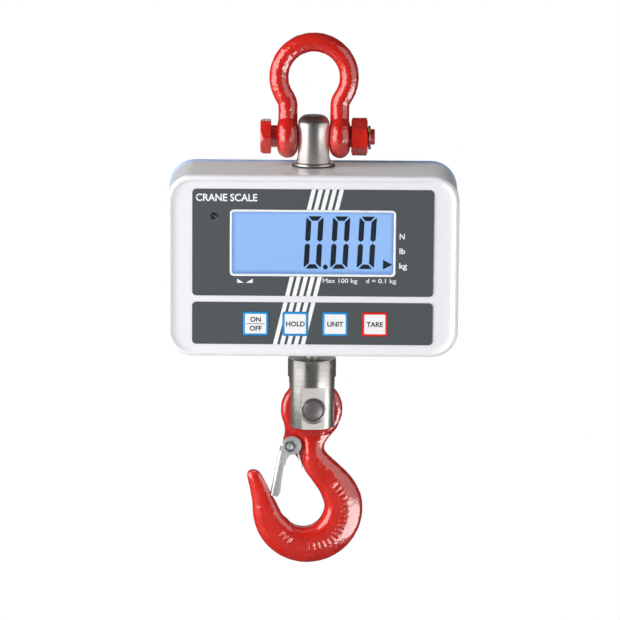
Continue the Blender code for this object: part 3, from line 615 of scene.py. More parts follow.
def make_rear():
    high = span("rear_cover")[1]
    door = rectangle("battery_door")
    front = 19.8
    shell = [(1.2, front), (1.2, high.y - 1.0), (1.35, high.y - 0.5), (1.8, high.y - 0.15),
             (2.5, high.y)]
    lip = case_ring([(2.8, 14), (2.8, 20.5), (4.3, 20.5), (4.3, 14)], True)
    cover = combine(case_ring(shell), lip, "UNION")
    holes = [panel(grown(door, 0.3), 0.8, [(0, 10), (0, 30)], 6)]
    holes += [rod(1.8, 10, 30, "Y", at, 32) for at in SCREWS.values()]
    recesses = [rod(3.2, 20.6, 30, "Y", at, 48) for at in SCREWS.values()]
    recesses += [rod(5.3, 10, front, "Y", at, 48) for at in SCREWS.values()]
    add_piece("rear_cover", cut(cover, merged(*holes), merged(*recesses)), HEAD, "grey_plastic")
    low, high = span("battery_door")
    rear = high.y
    lid = panel(door, 0.8, [(0, low.y), (0, rear - 0.35), (0.1, rear - 0.1), (0.35, rear)], 6)
    middle = (door[0] + door[1]) / 2
    grips = [panel((middle - 9, middle + 9, door[2] - 5.0 - 3 * i, door[2] - 6.4 - 3 * i), 0.6,
                   [(0, rear - 0.7), (0, 25)], 6) for i in range(4)]
    add_piece("battery_door", cut(lid, merged(*grips)), "battery_door", "grey_plastic")
    shape = [(0, -26), (1.3, -26), (1.3, 20.8), (2.7, 20.8), (2.9, 21.0), (2.9, 21.3),
             (2.6, 21.6), (1.8, 21.8), (0, 21.85)]
    for name, at in SCREWS.items():
        x, _, z = at
        slots = [box(x - across, x + across, 21.1, 25, z - up, z + up)
                 for across, up in ((1.6, 0.3), (0.3, 1.6))]
        add_piece(name, cut(turned(shape, "Y", at, 40), *slots), HEAD, "zinc_plated_steel")


STRIPE_WIDTH, STRIPE_GAP, STRIPE_COUNT = 2.4, 1.55, 5
STRIPE_TOP_X, STRIPE_TOP_Z, STRIPE_LEAN = -0.9, -24.9, 0.241


def stripes(top, bottom, front, back):
    """Slanted bands between two heights."""
    bands = []
    for number in range(STRIPE_COUNT):
        start = STRIPE_TOP_X + number * (STRIPE_WIDTH + STRIPE_GAP)
        x_top = start - STRIPE_LEAN * (STRIPE_TOP_Z - top)
        x_low = start - STRIPE_LEAN * (STRIPE_TOP_Z - bottom)
        outline = [(x_top, top), (x_low, bottom), (x_low + STRIPE_WIDTH, bottom),
                   (x_top + STRIPE_WIDTH, top)]
        bands.append(prism(outline, front, back))
    return bands


def make_panel():
    ink = (FILM_FRONT - PRINT, FILM_FRONT + 0.1)
    film = [(0.12, FILM_FRONT), (0, FILM_FRONT + 0.1), (0, FIELD - 0.05)]
    display = rectangle("display_overlay")
    keypad = rectangle("keypad_overlay")
    sheet = cut(panel(display, 2.3, film), merged(*display_openings()))
    add_piece("display_overlay", sheet, HEAD, "grey_film")
    sheet = cut(panel(keypad, 2.3, film), merged(*key_openings(0.2)))
    add_piece("keypad_overlay", sheet, HEAD, "grey_film")
    upper = stripes(display[2], WINDOW[2] + 0.15, *ink)
    upper += stripes(WINDOW[3] - 0.15, display[3], *ink)
    add_piece("display_stripes", merged(*upper), HEAD, "white_ink")
    lower = cut(merged(*stripes(keypad[2], keypad[3], *ink)), merged(*key_openings(0.2)))
    add_piece("keypad_stripes", lower, HEAD, "white_ink")
    # words, capital height, x, z, align, weight, stretch
    rows = (("CRANE SCALE", 4.1, -66.6, -31.6, "LEFT", 0.02, 0.94),
            ("N", 3.2, 48.9, -52.9, "LEFT", 0.02, 0.95),
            ("lb", 3.2, 48.9, -61.3, "LEFT", 0.02, 1.1),
            ("kg", 3.2, 48.9, -69.8, "LEFT", 0.02, 1.1),
            ("Max 100 kg", 2.5, 5.4, -78.2, "LEFT", 0.008, 1.2),
            ("d = 0.1 kg", 2.5, 47.5, -78.2, "RIGHT", 0.008, 1.2))
    marks = [lettering(*row[:4], *ink, *row[4:]) for row in rows]
    marks.append(prism([(-42.9, -76.1), (-42.9, -78.6), (-39.2, -78.6)], *ink))
    marks.append(prism([(-38.0, -78.6), (-34.0, -76.1), (-34.0, -78.6)], *ink))
    add_piece("panel_lettering", merged(*marks), HEAD, "white_ink", sharp=20.0)


def plate(node, corner, edge, steps=10):
    """A node's rounded plate with its front edge taken off."""
    low, high = span(node)
    profile = [(edge, low.y), (0, low.y + edge), (0, high.y)]
    return panel(rectangle(node), corner, profile, steps)


def make_window():
    low, high = span("window_frame")
    edge = [(0.0, high.y), (0.0, low.y + 0.3), (0.1, low.y + 0.1), (0.3, low.y)]
    edge += [(WINDOW_BORDER - inset, y) for inset, y in reversed(edge)]
    add_piece("window_frame", panel(WINDOW, 2.4, edge, 12, True), HEAD, "white_ink")
    add_piece("window_lens", plate("window_lens", 1.2, 0.15), HEAD, "clear_acrylic")
    add_piece("display_glass", plate("display_glass", 0.5, 0.1, 4), HEAD, "lit_display")
    glass = span("display_glass")[0].y
    front, back = glass - 0.03, glass + 0.1
    marks = []
    for x in (-5.3, 9.8, 24.9):
        marks += digit_zero(x, -70.8, front, back)
    marks.append(rod(1.4, front, back, "Y", (7.2, 0, -69.8), 32))
    marks.append(prism([(39.9, -65.4), (45.3, -68.2), (39.9, -71.0)], front, back))
    add_piece("display_segments", merged(*marks), HEAD, "crystal_ink")


DIGIT_WIDTH, DIGIT_HEIGHT, DIGIT_STROKE, DIGIT_SLANT = 9.9, 30.2, 3.0, 0.05


def digit_zero(x, z, front, back):
    """Six mitred segments of a leaning seven-segment zero whose lower left corner is (x, z)."""
    wide, tall, stroke, gap = DIGIT_WIDTH, DIGIT_HEIGHT, DIGIT_STROKE, 0.28
    half = tall / 2
    bar = [(gap + 0.9, 0), (wide - gap - 0.9, 0), (wide - gap - stroke, stroke - 0.4),
           (gap + stroke, stroke - 0.4)]
    left = [(0, gap + 1.0), (0.35, gap + 0.45), (stroke, stroke + gap), (stroke, half - 1.6),
            (stroke / 2, half - 0.45), (0, half - 1.6)]
    right = [(wide - px, pz) for px, pz in left]
    shapes = []
    for lower in (bar, left, right):
        shapes += [lower, [(px, tall - pz) for px, pz in lower]]
    return [prism([(x + px + DIGIT_SLANT * pz, z + pz) for px, pz in shape], front, back)
            for shape in shapes]


def make_keys():
    two_lines = {"on_off": (("ON", 1.15), ("OFF", -4.0))}
    for name in KEYS:
        low, high = span(f"key_{name}")
        cap = key_cap(name)
        x, z = (cap[0] + cap[1]) / 2, (cap[2] + cap[3]) / 2
        edge = [(0.2, low.y), (0.06, low.y + 0.06), (0, low.y + 0.2), (0, -37.5),
                (-KEY_FLANGE, -37.5), (-KEY_FLANGE, -36.8), (5.2, -36.8), (5.2, high.y)]
        face = [(0, low.y - 0.02), (0, low.y + 0.1)]
        parts = [painted(panel(cap, KEY_CORNER, edge, 6), 0),
                 painted(panel(grown(cap, -1.2), 0.5, face, 4), 1)]
        ink = (low.y - PRINT, low.y)
        for word, drop in two_lines.get(name, ((name.upper(), -1.35),)):
            parts.append(painted(lettering(word, 2.75, x, z + drop, *ink, weight=0.03), 2))
        if name == "on_off":
            parts.append(painted(box(x - 5.2, x + 5.2, *ink, z - 0.25, z + 0.1), 2))
        colour = "key_red" if name == "tare" else "key_blue"
        add_piece(f"key_{name}", merged(*parts), f"key_{name}", colour, "key_film", "dark_ink")
    low, high = span("status_led")
    radius, rise = 1.7, 1.2
    dome = [(0, high.y), (radius, high.y), (radius, low.y + rise)]
    dome += [(radius * cos(t), low.y + rise - rise * sin(t)) for t in (0.4, 0.8, 1.2)]
    dome.append((0, low.y))
    add_piece("status_led", turned(dome, "Y", axis_at("status_led"), 40), HEAD, "led_lens")


# ---- stud and shackle


STUD_HALF, STUD_RADIUS = 9.05, 11.4
BOLT_HOLE = 6.6


def make_stud():
    low, high = span("upper_stud")
    top, neck = high.z, 6.9
    shape = [(0, low.z), (5.3, low.z), (5.9, low.z + 0.6), (5.9, -42), (neck, -41), (neck, -14.5),
             (STUD_RADIUS, -14.5)]
    shape += arc(STUD_RADIUS - 7.0, top - 7.0, 7.0, 0, 90, 16)
    stud = turned(shape + [(0, top)], steps=160)
    flank = [(STUD_HALF + 0.95, -14.6), (STUD_HALF + 0.7, -14.2), (STUD_HALF + 0.4, -13.5),
             (STUD_HALF + 0.15, -12.5), (STUD_HALF, -11.0), (STUD_HALF, -9.0)]
    flank += arc(STUD_HALF - 6.0, top - 6.0, 6.0, 0, 88, 16)
    flank += [(STUD_HALF - 6.0, top + 5), (20.0, top + 5), (20.0, -14.6)]
    for side in (-1, 1):
        stud = cut(stud, prism([(side * x, z) for x, z in flank], -20, 20))
    stud = cut(softened(stud, 1.1, 5, 35), rod(BOLT_HOLE, -20, 20, "X"))
    # The top 3.8 mm of the dome takes the darker steel: painted shade on its upward face.
    for face in stud.faces:
        face.material_index = 1 if face.calc_center_median().z > top - 3.8 else 0
    add_piece("upper_stud", stud, HEAD, "stud_steel", "steel_painted_shade")
    collar = [(7.2, -16.35), (12.1, -16.35), (12.28, -16.2), (12.3, -15.8), (12.25, -15.4),
              (12.0, -15.05), (11.5, -14.85), (10.6, -14.72), (7.2, -14.7)]
    add_piece("stud_collar", turned(collar, steps=128, hollow=True), HEAD, "stud_steel")
    gasket = [(7.2, -16.9), (12.4, -16.9), (12.5, -16.8), (12.5, -16.55), (12.4, -16.45), (7.2, -16.45)]
    add_piece("stud_gasket", turned(gasket, hollow=True), HEAD, "black_rubber")


BOW_RADIUS, BOW_CENTRE_Z, BOW_STOCK, BOW_ANGLE = 20.2, 34.3, 5.5, radians(32)
BOW_CORNERS = 40
LEG_X, LEG_BEND = 14.9, 8.0
EYE_RADIUS, EYE_HALF = 12.5, 5.85


def bow_path():
    """(x, z, lean) along the bow's centre line, from the right eye over the crown to the left."""
    join_x = BOW_RADIUS * cos(BOW_ANGLE)
    join_z = BOW_CENTRE_Z - BOW_RADIUS * sin(BOW_ANGLE)
    bend_x = LEG_X + LEG_BEND * (1 - cos(BOW_ANGLE))
    bend_z = join_z - (join_x - bend_x) / math.tan(BOW_ANGLE)
    foot_z = bend_z - LEG_BEND * sin(BOW_ANGLE)
    right = [(LEG_X, 1.0 + (foot_z - 1.0) * i / 6, 0.0) for i in range(6)]
    for step in range(9):
        lean = BOW_ANGLE * step / 8
        right.append((LEG_X + LEG_BEND * (1 - cos(lean)),
                      foot_z + LEG_BEND * sin(lean), lean))
    bow = []
    for step in range(73):
        turn = (pi + 2 * BOW_ANGLE) * step / 72 - BOW_ANGLE
        bow.append((BOW_RADIUS * cos(turn), BOW_CENTRE_Z + BOW_RADIUS * sin(turn), -turn))
    return right + bow + [(-x, z, -pi - lean) for x, z, lean in reversed(right)]


def lumps(point, size, height, seed):
    """Slow unevenness of a forging at a point, in millimetres."""
    at = Vector(point) / size + Vector((seed, 0.37 * seed, -seed))
    return height * noise.fractal(at, 1.0, 2.0, 3)


def roughen(mesh, size, height, seed, where=None):
    """Moves every point along its normal by slow noise, scaled by where(point)."""
    mesh.normal_update()
    moved = []
    for vert in mesh.verts:
        share = where(vert.co) if where else 1.0
        moved.append(vert.co + vert.normal * lumps(vert.co, size, height, seed) * share)
    for vert, at in zip(mesh.verts, moved):
        vert.co = at


def make_shackle():
    rings = []
    for x, z, lean in bow_path():
        across = Vector((cos(lean), 0, -sin(lean)))
        turns = [tau * i / BOW_CORNERS for i in range(BOW_CORNERS)]
        rings.append([Vector((x, 0, z)) + across * BOW_STOCK * cos(turn)
                      + Vector((0, BOW_STOCK * sin(turn), 0)) for turn in turns])
    shapes = [loft(rings)]
    for side in (-1, 1):
        rim = arc(EYE_RADIUS - EYE_HALF, 0, EYE_HALF, -82, 82, 16)
        shapes.append(turned([(0, rim[0][1]), *rim, (0, rim[-1][1])], "X", (side * 15.05, 0, 0), 64))
    bow = fused(merged(*shapes), 0.42, 16)
    roughen(bow, 3.2, 0.17, 3.1, lambda p: 0.4 + 0.6 * max(0.0, min(1.0, (12 - p.x) / 24)))
    roughen(bow, 1.2, 0.08, 7.7)
    add_piece("shackle_bow", cut(bow, rod(BOLT_HOLE, -30, 30, "X")), "shackle", "red_paint")


def hexagon(flats, start, end, turn, outer, inner):
    """A hexagon along X with its corners turned off over a length at its outer and inner end."""
    corner = flats / math.sqrt(3.0)
    ring = arc(0, 0, corner, turn, turn + 300, 5)
    block = loft([[(x, y, z) for y, z in ring] for x in (start, end)])
    face = flats / 2 - 0.4
    trim = [(0, start), (face, start), (corner + 0.3, start + outer), (corner + 0.3, end - inner),
            (face, end), (0, end)]
    return combine(block, turned(trim, "X"), "INTERSECT")


COTTER_X = 31.9
COTTER_LEAN = radians(55)  # the split pin's eye leans towards the viewer


def make_bolt():
    low, high = span("shackle_bolt")
    lean = Matrix.Rotation(COTTER_LEAN, 4, "X")
    shank = [(0, -25.5), (6.35, -25.5), (6.35, 21.2), (6.0, 21.5)]
    pitch, thread_end = 1.5, 32.2
    for i in range(int((thread_end - 21.5) / pitch)):
        at = 21.5 + pitch * i
        shank += [(6.0, at + 0.15), (5.25, at + 0.7), (5.25, at + 0.85), (6.0, at + 1.4)]
    shank += [(6.0, thread_end - 0.2), (5.6, 32.5), (4.6, 32.6), (4.5, 32.8), (4.5, 34.7),
              (4.35, 35.0), (4.0, high.x), (0, high.x)]
    hole = rod(1.1, -12, 12, "Z", (COTTER_X, 0, 0), 32)
    hole.transform(lean)
    bolt = cut(turned(shank, "X", steps=64), hole)
    head = softened(hexagon(18.8, low.x, -24.5, 0, 2.2, 0.3), 0.35, 3, 18)
    roughen(head, 2.6, 0.12, 5.3, lambda p: 0.0 if p.x < low.x + 0.5 else 1.0)
    add_piece("shackle_bolt", merged(bolt, head), "shackle_bolt", "red_paint")
    low, high = span("shackle_nut")
    nut = cut(hexagon(19.0, low.x, high.x, 30, 0.7, 0.7), rod(6.3, 15, 40, "X"))
    add_piece("shackle_nut", softened(nut, 0.25, 3, 18), "shackle_bolt", "red_paint")
    x = COTTER_X
    ring = [(x, a, b) for a, b in arc(0, 8.6, 1.7, -65, 245, 14)]
    legs = [(x, 0.35, 6.0), (x, 0.3, 0), (x, 0.2, -6.6), (x + 0.2, -1.4, -8.2), (x + 0.5, -3.2, -9.4)]
    cotter = wire(ring + legs, 0.8)
    cotter.transform(lean)
    add_piece("shackle_cotter", cotter, "shackle_bolt", "brass")


# ---- clevis, hook and latch

PIN_Z = -159.0
PIN = (0, 0, PIN_Z)
FLAT_TOP = -145.1


def make_clevis():
    radius, edge = 14.0, 0.7
    low, high = span("clevis")
    top, bottom, below = high.z, low.z, low.z - 5
    shape = [(0, bottom), (radius - edge, bottom), (radius - 0.2, bottom + 0.2),
             (radius, bottom + edge), (radius, top - edge), (radius - 0.2, top - 0.2),
             (radius - edge, top), (0, top)]
    slot_top = PIN_Z + 18.8
    tools = [box(-20, 20, -5.5, 5.5, below, slot_top), rod(4.4, -150, -120),
             rod(8.3, slot_top - 2, -134.7)]
    for side in (-1, 1):
        near, far = sorted((side * 12.3, side * 20))
        tools.append(box(-20, 20, near, far, below, FLAT_TOP))
        flat = [(side * 12.65, below), (side * 12.65, -145.8), (side * 13.2, -143.4),
                (side * 15.0, -140.0), (side * 20.0, -140.0), (side * 20.0, below)]
        tools.append(prism(flat, -20, 20))
    sink = [(0, -20), (9.0, -20), (9.0, -13.4), (6.25, -11.0)]
    tools.append(turned(sink + mirror(sink), "Y", PIN))
    clevis = softened(cut(turned(shape, steps=144), *tools), 0.22, 2, 28)
    for face in clevis.faces:
        at, normal = face.calc_center_median(), face.normal
        flat = at.z < FLAT_TOP + 0.2 and abs(normal.y) > 0.97 and abs(at.y) > 12
        face.material_index = 1 if flat else 0
    add_piece("clevis", clevis, "swivel", "clevis_steel", "milled_steel")
    head = [(0, -12.3), (1.6, -12.22), (3.2, -11.98), (4.6, -11.6), (5.6, -11.15), (6.1, -10.75),
            (6.2, -10.3)]
    add_piece("clevis_pin", turned(head + mirror(head), "Y", PIN, 72), "swivel", "dark_steel")


def make_swivel():
    washer = [(4.3, -136), (7.8, -136), (7.9, -135.9), (7.9, -135.1), (7.8, -135), (4.3, -135)]
    add_piece("thrust_washer", turned(washer, steps=64, hollow=True), "swivel", "brass")
    low, high = span("swivel_bolt")
    shape = [(0, low.z), (7.2, low.z), (7.8, low.z + 0.6), (7.8, -136.5), (7.6, -136.3),
             (4.3, -136.3), (4.0, -136.0), (4.0, -120), (5.9, -118), (5.9, high.z - 0.6),
             (5.3, high.z), (0, high.z)]
    add_piece("swivel_bolt", turned(shape, steps=72), HEAD, "stud_steel")
    bush = [(6.2, -117.6), (6.2, -122.6), (10.6, -122.6), (11.0, -122.5), (11.2, -122.2),
            (11.2, -121.3), (7.7, -121.3), (7.7, -117.6)]
    add_piece("lower_bush", turned(bush, steps=72, hollow=True), HEAD, "black_rubber")


HOOK_RISE = 0.8  # how far the hook's stations are lifted to where it hangs
EYE_DISC_DROP = 1.1
BOWL_INNER, BOWL_OUTER = (-4.3, -219.0, 12.2), (-1.9, -220.3, 32.2)  # x, z, radius
RIVET_X, RIVET_Z = -12.9, -181.2
RIVET = (RIVET_X, 0, RIVET_Z)
RIVET_HOLE = 1.8


def bowl_station(degrees):
    """Inner and outer points of the bowl on one ray from the inner circle's centre."""
    ray = Vector((cos(radians(degrees)), sin(radians(degrees))))
    centre = Vector(BOWL_INNER[:2])
    offset = centre - Vector(BOWL_OUTER[:2])
    along = offset.dot(ray)
    reach = -along + math.sqrt(along * along - offset.length_squared + BOWL_OUTER[2] ** 2)
    return centre + ray * BOWL_INNER[2], centre + ray * reach


def hook_stations():
    """Inner x, z, outer x, z and half thickness, from the eye down, round the bowl, to the tip."""
    shank = [
        (-9.0, -168.4, 16.2, -169.3, 4.0), (-8.0, -172.0, 14.4, -172.8, 4.4),
        (-6.6, -176.2, 11.4, -176.3, 5.0), (-5.4, -179.6, 8.6, -179.9, 5.8),
        (-4.9, -182.8, 7.4, -183.4, 6.4), (-4.7, -186.2, 8.3, -186.4, 6.8),
        (-4.8, -191.2, 12.0, -190.2, 7.0), (-3.9, -196.9, 17.4, -195.2, 7.4),
        (0.9, -203.9, 23.5, -201.6, 7.8), (5.2, -210.4, 27.5, -208.0, 8.0),
    ]
    bowl = []
    for step in range(11):
        inner, outer = bowl_station(7.5 - 15.0 * step)
        bowl.append((*inner, *outer, 8.1 - 1.6 * (step / 12) ** 2))
    tip = [
        (-16.6, -223.9, -32.3, -230.8, 6.7), (-18.6, -220.2, -34.0, -223.2, 6.5),
        (-20.4, -216.4, -34.4, -216.6, 6.1), (-22.7, -212.4, -35.2, -211.4, 5.7),
        (-24.9, -207.8, -36.2, -206.4, 5.2), (-27.4, -203.0, -37.2, -202.0, 4.7),
        (-29.2, -199.8, -37.5, -199.6, 4.0), (-30.4, -198.0, -36.9, -197.8, 3.1),
        (-32.2, -196.8, -35.4, -196.6, 1.6),
    ]
    return shank + bowl + tip


def between(before, start, end, after, share):
    """A smooth curve's value between two stations (Catmull-Rom)."""
    return 0.5 * (2 * start + (end - before) * share
                  + (2 * before - 5 * start + 4 * end - after) * share ** 2
                  + (3 * start - before - 3 * end + after) * share ** 3)


STATION_STEPS = 6
RING_CORNERS, RING_SKEW, RING_FULLNESS = 48, 0.24, 0.85


def fine_stations():
    """The hook's stations, with smooth ones added between them."""
    rows = hook_stations()
    fine = []
    for i in range(len(rows) - 1):
        four = [rows[max(i - 1, 0)], rows[i], rows[i + 1], rows[min(i + 2, len(rows) - 1)]]
        for step in range(STATION_STEPS):
            fine.append([between(*values, step / STATION_STEPS) for values in zip(*four)])
    fine.append(rows[-1])
    return fine


def hook_ring(row):
    """One section: fullest near the inner side and thinner towards the outer one."""
    inner = Vector((row[0], 0, row[1] + HOOK_RISE))
    outer = Vector((row[2], 0, row[3] + HOOK_RISE))
    middle, reach, half = (inner + outer) / 2, (outer - inner) / 2, row[4]
    ring = []
    for i in range(RING_CORNERS):
        turn = tau * i / RING_CORNERS
        across, through = (math.copysign(abs(part) ** RING_FULLNESS, part)
                           for part in (cos(turn), sin(turn)))
        across -= RING_SKEW * (1 - across * across)
        ring.append(middle + reach * across + Vector((0, half * through, 0)))
    return ring


def make_hook():
    shapes = [loft([hook_ring(row) for row in fine_stations()])]
    rim = [(0, -5), (14.6, -5), (16.0, -4.6), (17.1, -3.6), (17.8, -2.0)]
    shapes.append(turned([*rim, (18, 0), *mirror(rim)], "Y", (0, 0, PIN_Z - EYE_DISC_DROP)))
    lug = [(-16.2, -169.4), (-15.6, -171.6), (-15.4, -173.4), (-15.7, -176.4)]
    lug += arc(RIVET_X, -182.0, 3.9, 150, 270, 10)
    lug += [(-9.6, -187.6), (-4.0, -196.0), (0.0, -196.0), (0.0, -169.4)]
    shapes.append(prism([(x, z + HOOK_RISE) for x, z in lug], -2.4, 2.4))
    hook = fused(merged(*shapes), 0.45, 3)
    roughen(hook, 3.4, 0.14, 1.7, lambda p: 1.0 if p.z > -200 else 0.45)
    roughen(hook, 1.2, 0.03, 9.2)
    raise_marks(hook)
    holes = rod(6.3, -20, 20, "Y", PIN), rod(RIVET_HOLE, -20, 20, "Y", RIVET, 32)
    add_piece("hook", cut(hook, *holes), "hook", "red_paint")


MARK_HEIGHT, MARK_SLOPE = 0.5, 0.35


def raise_marks(mesh):
    """Raises a row of plain forged bars round the front of the bowl, well clear of its edges."""
    centre = Vector((BOWL_OUTER[0], BOWL_OUTER[1] + HOOK_RISE))
    # angle, radius of the middle, half length, half width
    bars = [(46 - 8.0 * i, 21.4, 2.5, 0.75) for i in range(18)]
    bars += [(-122 - 8.0 * i, 20.8, 2.2, 0.75) for i in range(3)]
    for vert in mesh.verts:
        if vert.co.y > -2.0:
            continue
        offset = Vector((vert.co.x, vert.co.z)) - centre
        radius = offset.length
        angle = math.degrees(math.atan2(offset.y, offset.x))
        lift = 0.0
        for at, middle, half, thick in bars:
            aside = abs(radians((angle - at + 180) % 360 - 180)) * radius
            along = abs(radius - middle)
            edge = min((thick - aside) / MARK_SLOPE, (half - along) / MARK_SLOPE)
            lift = max(lift, min(1.0, max(0.0, edge)))
        vert.co.y -= MARK_HEIGHT * lift


def from_rivet(points):
    return [(RIVET_X + x, RIVET_Z + z) for x, z in points]


def rolled_edge(half):
    """The sheet's bend down the latch's outer side, a narrow slope that the latch colours near-white as a painted
    highlight.
    """
    rings = []
    for x, z in ((-5.35, -4.2), (-10.75, -29.2)):
        section = [(x - 0.1, 1.1 - half), (x + 0.1, 0.5 - half), (x + 0.8, -half - 0.06),
                   (x + 0.9, 0.3 - half), (x + 0.3, 1.4 - half)]
        rings.append([(RIVET_X + px, y, RIVET_Z + z) for px, y in section])
    return loft(rings)


LATCH_HALF, LATCH_SHEET, REAR_CHEEK_Y = 5.6, 1.3, 3.0


def latch_cutters(half):
    """What is taken from the latch's solid outline to leave a bent sheet with two cheeks."""
    inside = [(-20, 20), (-20, -3.4), (-3.8, -3.4), (-9.0, -30), (-9.0, -40), (20, -40), (20, 20)]
    narrower = [(-2.0, -9.6), (-3.6, -12.6), (-4.7, -19.6), (-5.4, -27.0), (-5.4, -40.0),
                (20, -40), (20, -9.6)]
    shorter = [(-20, -2.0), (-3.2, -2.0), (-3.2, 20), (-20, 20)]
    tools = [prism(from_rivet(inside), LATCH_SHEET - half, half - LATCH_SHEET),
             prism(from_rivet(narrower), -20, 0), prism(from_rivet(shorter), 0, 20)]
    for side in (-1, 1):
        tools.append(loft([[(x, side * y, z) for x, z in arc(*RIVET[::2], radius, 10, 310, 5)]
                           for radius, y in ((3.9, half + 0.3), (2.6, half - 1.0))]))
    return tools + [rod(RIVET_HOLE, -20, 20, "Y", RIVET, 32)]


def make_latch():
    half = LATCH_HALF
    ear = arc(1.2, 0.5, 5.4, 170, -95, 40)
    cheek = ear + [(-0.2, -5.6), (-1.1, -6.7), (-2.0, -8.4), (-2.6, -10.6), (-3.1, -13.0),
                   (-4.9, -26.4), (-5.2, -27.1), (-5.7, -27.6), (-6.3, -28.8), (-6.8, -29.6),
                   (-7.3, -29.9), (-10.5, -29.4), (-5.2, -3.4)]
    latch = cut(prism(from_rivet(cheek), -half, half), *latch_cutters(half))
    latch = softened(latch, 0.22)
    bmesh.ops.bisect_plane(latch, geom=[*latch.verts, *latch.edges, *latch.faces],
                           plane_co=(0, REAR_CHEEK_Y, 0), plane_no=(0, 1, 0))
    # Faces round the rivet's recess take the darker steel, painted shade; the web's outer face and the bend take
    # the near-white zinc, a painted highlight.
    for face in latch.faces:
        at = face.calc_center_median() - Vector(RIVET)
        behind = at.y > REAR_CHEEK_Y
        at.y = 0
        if at.length < 3.5 and abs(face.normal.y) < 0.98:
            face.material_index = 2
        elif face.normal.x < -0.9 and not behind:
            face.material_index = 1
    latch = merged(latch, painted(rolled_edge(half), 1))
    add_piece("latch", latch, "latch", "zinc_plated_steel", "zinc_painted_highlight", "steel_painted_shade")
    top = half + 0.9
    rivet = [(0, -top), (1.3, -top), (1.75, -top + 0.2), (1.9, -top + 0.6), (1.9, -half - 0.2),
             (1.5, -half - 0.2)]
    rivet += mirror(rivet)
    add_piece("latch_rivet", turned(rivet, "Y", RIVET, 48), "hook", "zinc_plated_steel")


def make_spring():
    """A torsion spring round the rivet, with one leg on the latch's web and one on the hook. Its near-white zinc
    is a painted highlight.
    """
    coil, near, far, turns, steps = 2.7, -3.7, -3.1, 1.5, 48
    start = radians(200)
    points = [(-4.4, near, -12.0), (-3.0, near, -4.6)]
    for step in range(steps + 1):
        turn = start - tau * turns * step / steps
        points.append((coil * cos(turn), near + (far - near) * step / steps, coil * sin(turn)))
    points += [(4.6, far, -3.4), (7.4, far, -13.6)]
    shape = wire([(RIVET_X + x, y, RIVET_Z + z) for x, y, z in points], 0.55, 4, smooth=False)
    add_piece("latch_spring", shape, "hook", "zinc_painted_highlight")


def dress_inner_nodes():
    """The parts inside the housing keep their CAD shape and get a worked material."""
    swaps = {"stainless_steel": "stud_steel", "display_glass": "lit_display"}
    for name, node in frame["nodes"].items():
        if node.hide_render:
            continue
        finish = MATERIALS[swaps.get(SLOTS[name], SLOTS[name])]
        node.data.materials.clear()
        node.data.materials.append(finish)


# ---- studio

FLOOR_DROP = 0.9  # metres below the object, so that it casts no near shadow
WHITE, FILL, MIRRORED = (1, 1, 1, 1), (0.135, 0.135, 0.137, 1), (0.05, 0.05, 0.05, 1)
CAMERA_TARGET = (-1.37, 0, -101.55)
CAMERA_DISTANCE, LENS = 2.204, 220.6
CAMERA_PITCH, CAMERA_ROLL = radians(10.3), radians(0.42)


def make_floor():
    """A wide pale floor. The camera sees it as plain white, and metal doesn't mirror it."""
    nodes = Nodes("pale_floor")
    tone = nodes.noise(400.0)
    nodes.set(Base_Color=nodes.mix(tone, (0.86, 0.86, 0.86, 1), (0.9, 0.9, 0.9, 1)), Roughness=0.9)
    white = nodes.add("ShaderNodeEmission", Color=(1, 1, 1, 1), Strength=1.0)
    path = nodes.add("ShaderNodeLightPath")
    nodes.mix_shaders(path.outputs["Is Camera Ray"], nodes.shader.outputs[0], white.outputs[0])
    mesh = bmesh.new()
    bmesh.ops.create_grid(mesh, x_segments=1, y_segments=1, size=40.0)
    data = bpy.data.meshes.new("floor")
    mesh.to_mesh(data)
    mesh.free()
    data.materials.append(nodes.material)
    floor = linked("floor", data)
    floor.location.z = CAD_LOW.z - FLOOR_DROP
    floor.visible_glossy = False


def add_softbox(name, azimuth, height, distance, size, radiance, rays):
    """A soft area light that only glossy or only diffuse rays see.

    Azimuth 0 is the viewer's side and positive is to the right. Height is above the bolt.
    """
    lamp = bpy.data.lights.new(name, "AREA")
    configure(lamp, shape="RECTANGLE", size=size[0], size_y=size[1],
              energy=radiance * pi * size[0] * size[1])
    obj = linked(name, lamp)
    turn = radians(azimuth)
    away = Vector((sin(turn), -cos(turn), 0)) * distance
    obj.location = Vector((0, 0, BOLT_Z + height)) + away
    aim = obj.location - (CAD_LOW + CAD_HIGH) / 2
    if rays == "glossy":
        aim.z = 0
    obj.rotation_euler = aim.to_track_quat("Z", "Y").to_euler()
    configure(obj, visible_camera=False, visible_diffuse=rays == "diffuse",
              visible_glossy=rays == "glossy", visible_transmission=False)


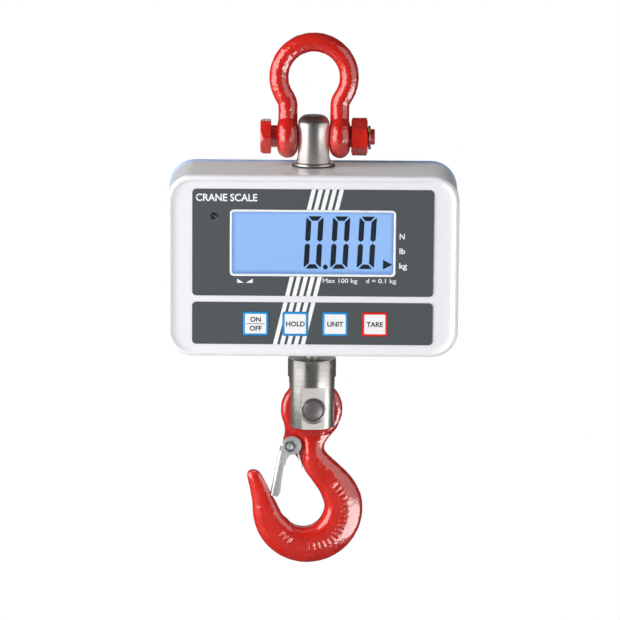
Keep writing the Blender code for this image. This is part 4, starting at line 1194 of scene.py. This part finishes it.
def make_world():
    """A dim studio for reflections, a little fill for the shadows and white for the camera."""
    world = bpy.data.worlds.new("studio")
    bpy.context.scene.world = world
    nodes = Nodes("studio", world)
    path = nodes.add("ShaderNodeLightPath").outputs
    seen = nodes.mix(path["Is Camera Ray"], FILL, WHITE)
    seen = nodes.mix(path["Is Glossy Ray"], seen, MIRRORED)
    nodes.feed(nodes.tree.nodes["Background"].inputs["Color"], seen)


def make_camera():
    data = bpy.data.cameras.new("camera")
    configure(data, sensor_width=36.0, lens=LENS, clip_end=200.0)
    camera = linked("camera", data)
    target = Vector(CAMERA_TARGET) * MM + BOLT
    away = Vector((0, -cos(CAMERA_PITCH), sin(CAMERA_PITCH)))
    camera.location = target + away * CAMERA_DISTANCE
    look = away.to_track_quat("Z", "Y").to_matrix().to_4x4()
    camera.rotation_euler = (look @ Matrix.Rotation(CAMERA_ROLL, 4, "Z")).to_euler()
    bpy.context.scene.camera = camera


# name, azimuth, height, distance, (width, height), radiance, rays
SOFTBOXES = (
    ("left_upper", -65, 0.23, 1.2, (1.4, 1.36), 2.6, "glossy"),
    ("left_lower", -65, -0.85, 1.2, (1.4, 0.9), 0.2, "glossy"),
    ("front_lower", 0, -0.75, 1.2, (1.2, 0.9), 0.1, "glossy"),
    ("right_upper", 64, 0.33, 1.2, (1.4, 1.3), 0.95, "glossy"),
    ("right_lower", 61, -0.8, 1.2, (1.4, 0.96), 5.0, "glossy"),
    ("backdrop", 180, 0.36, 1.6, (1.2, 0.6), 0.42, "glossy"),
    ("left_key", -62, 0.2, 1.2, (1.0, 1.4), 6.2, "diffuse"),
    ("right_fill", 64, 0.0, 1.2, (1.0, 1.4), 1.5, "diffuse"),
    ("rear_left", -142, -0.3, 1.2, (1.0, 0.8), 3.6, "diffuse"),
    ("rear_right", 142, -0.3, 1.2, (1.0, 0.8), 2.8, "diffuse"),
    ("under_fill", 0, -1.1, 0.9, (1.0, 0.6), 1.0, "diffuse"),
)


def make_studio():
    make_floor()
    make_world()
    for row in SOFTBOXES:
        add_softbox(*row)
    make_camera()
    bpy.context.scene.view_settings.view_transform = "Standard"


MATERIALS["lit_display"] = lit_crystal(rectangle("window_lens"))
for make in (make_housing, make_rear, make_panel, make_window, make_keys, make_stud, make_shackle,
             make_bolt, make_clevis, make_swivel, make_hook, make_latch, make_spring,
             dress_inner_nodes, make_studio):
    make()
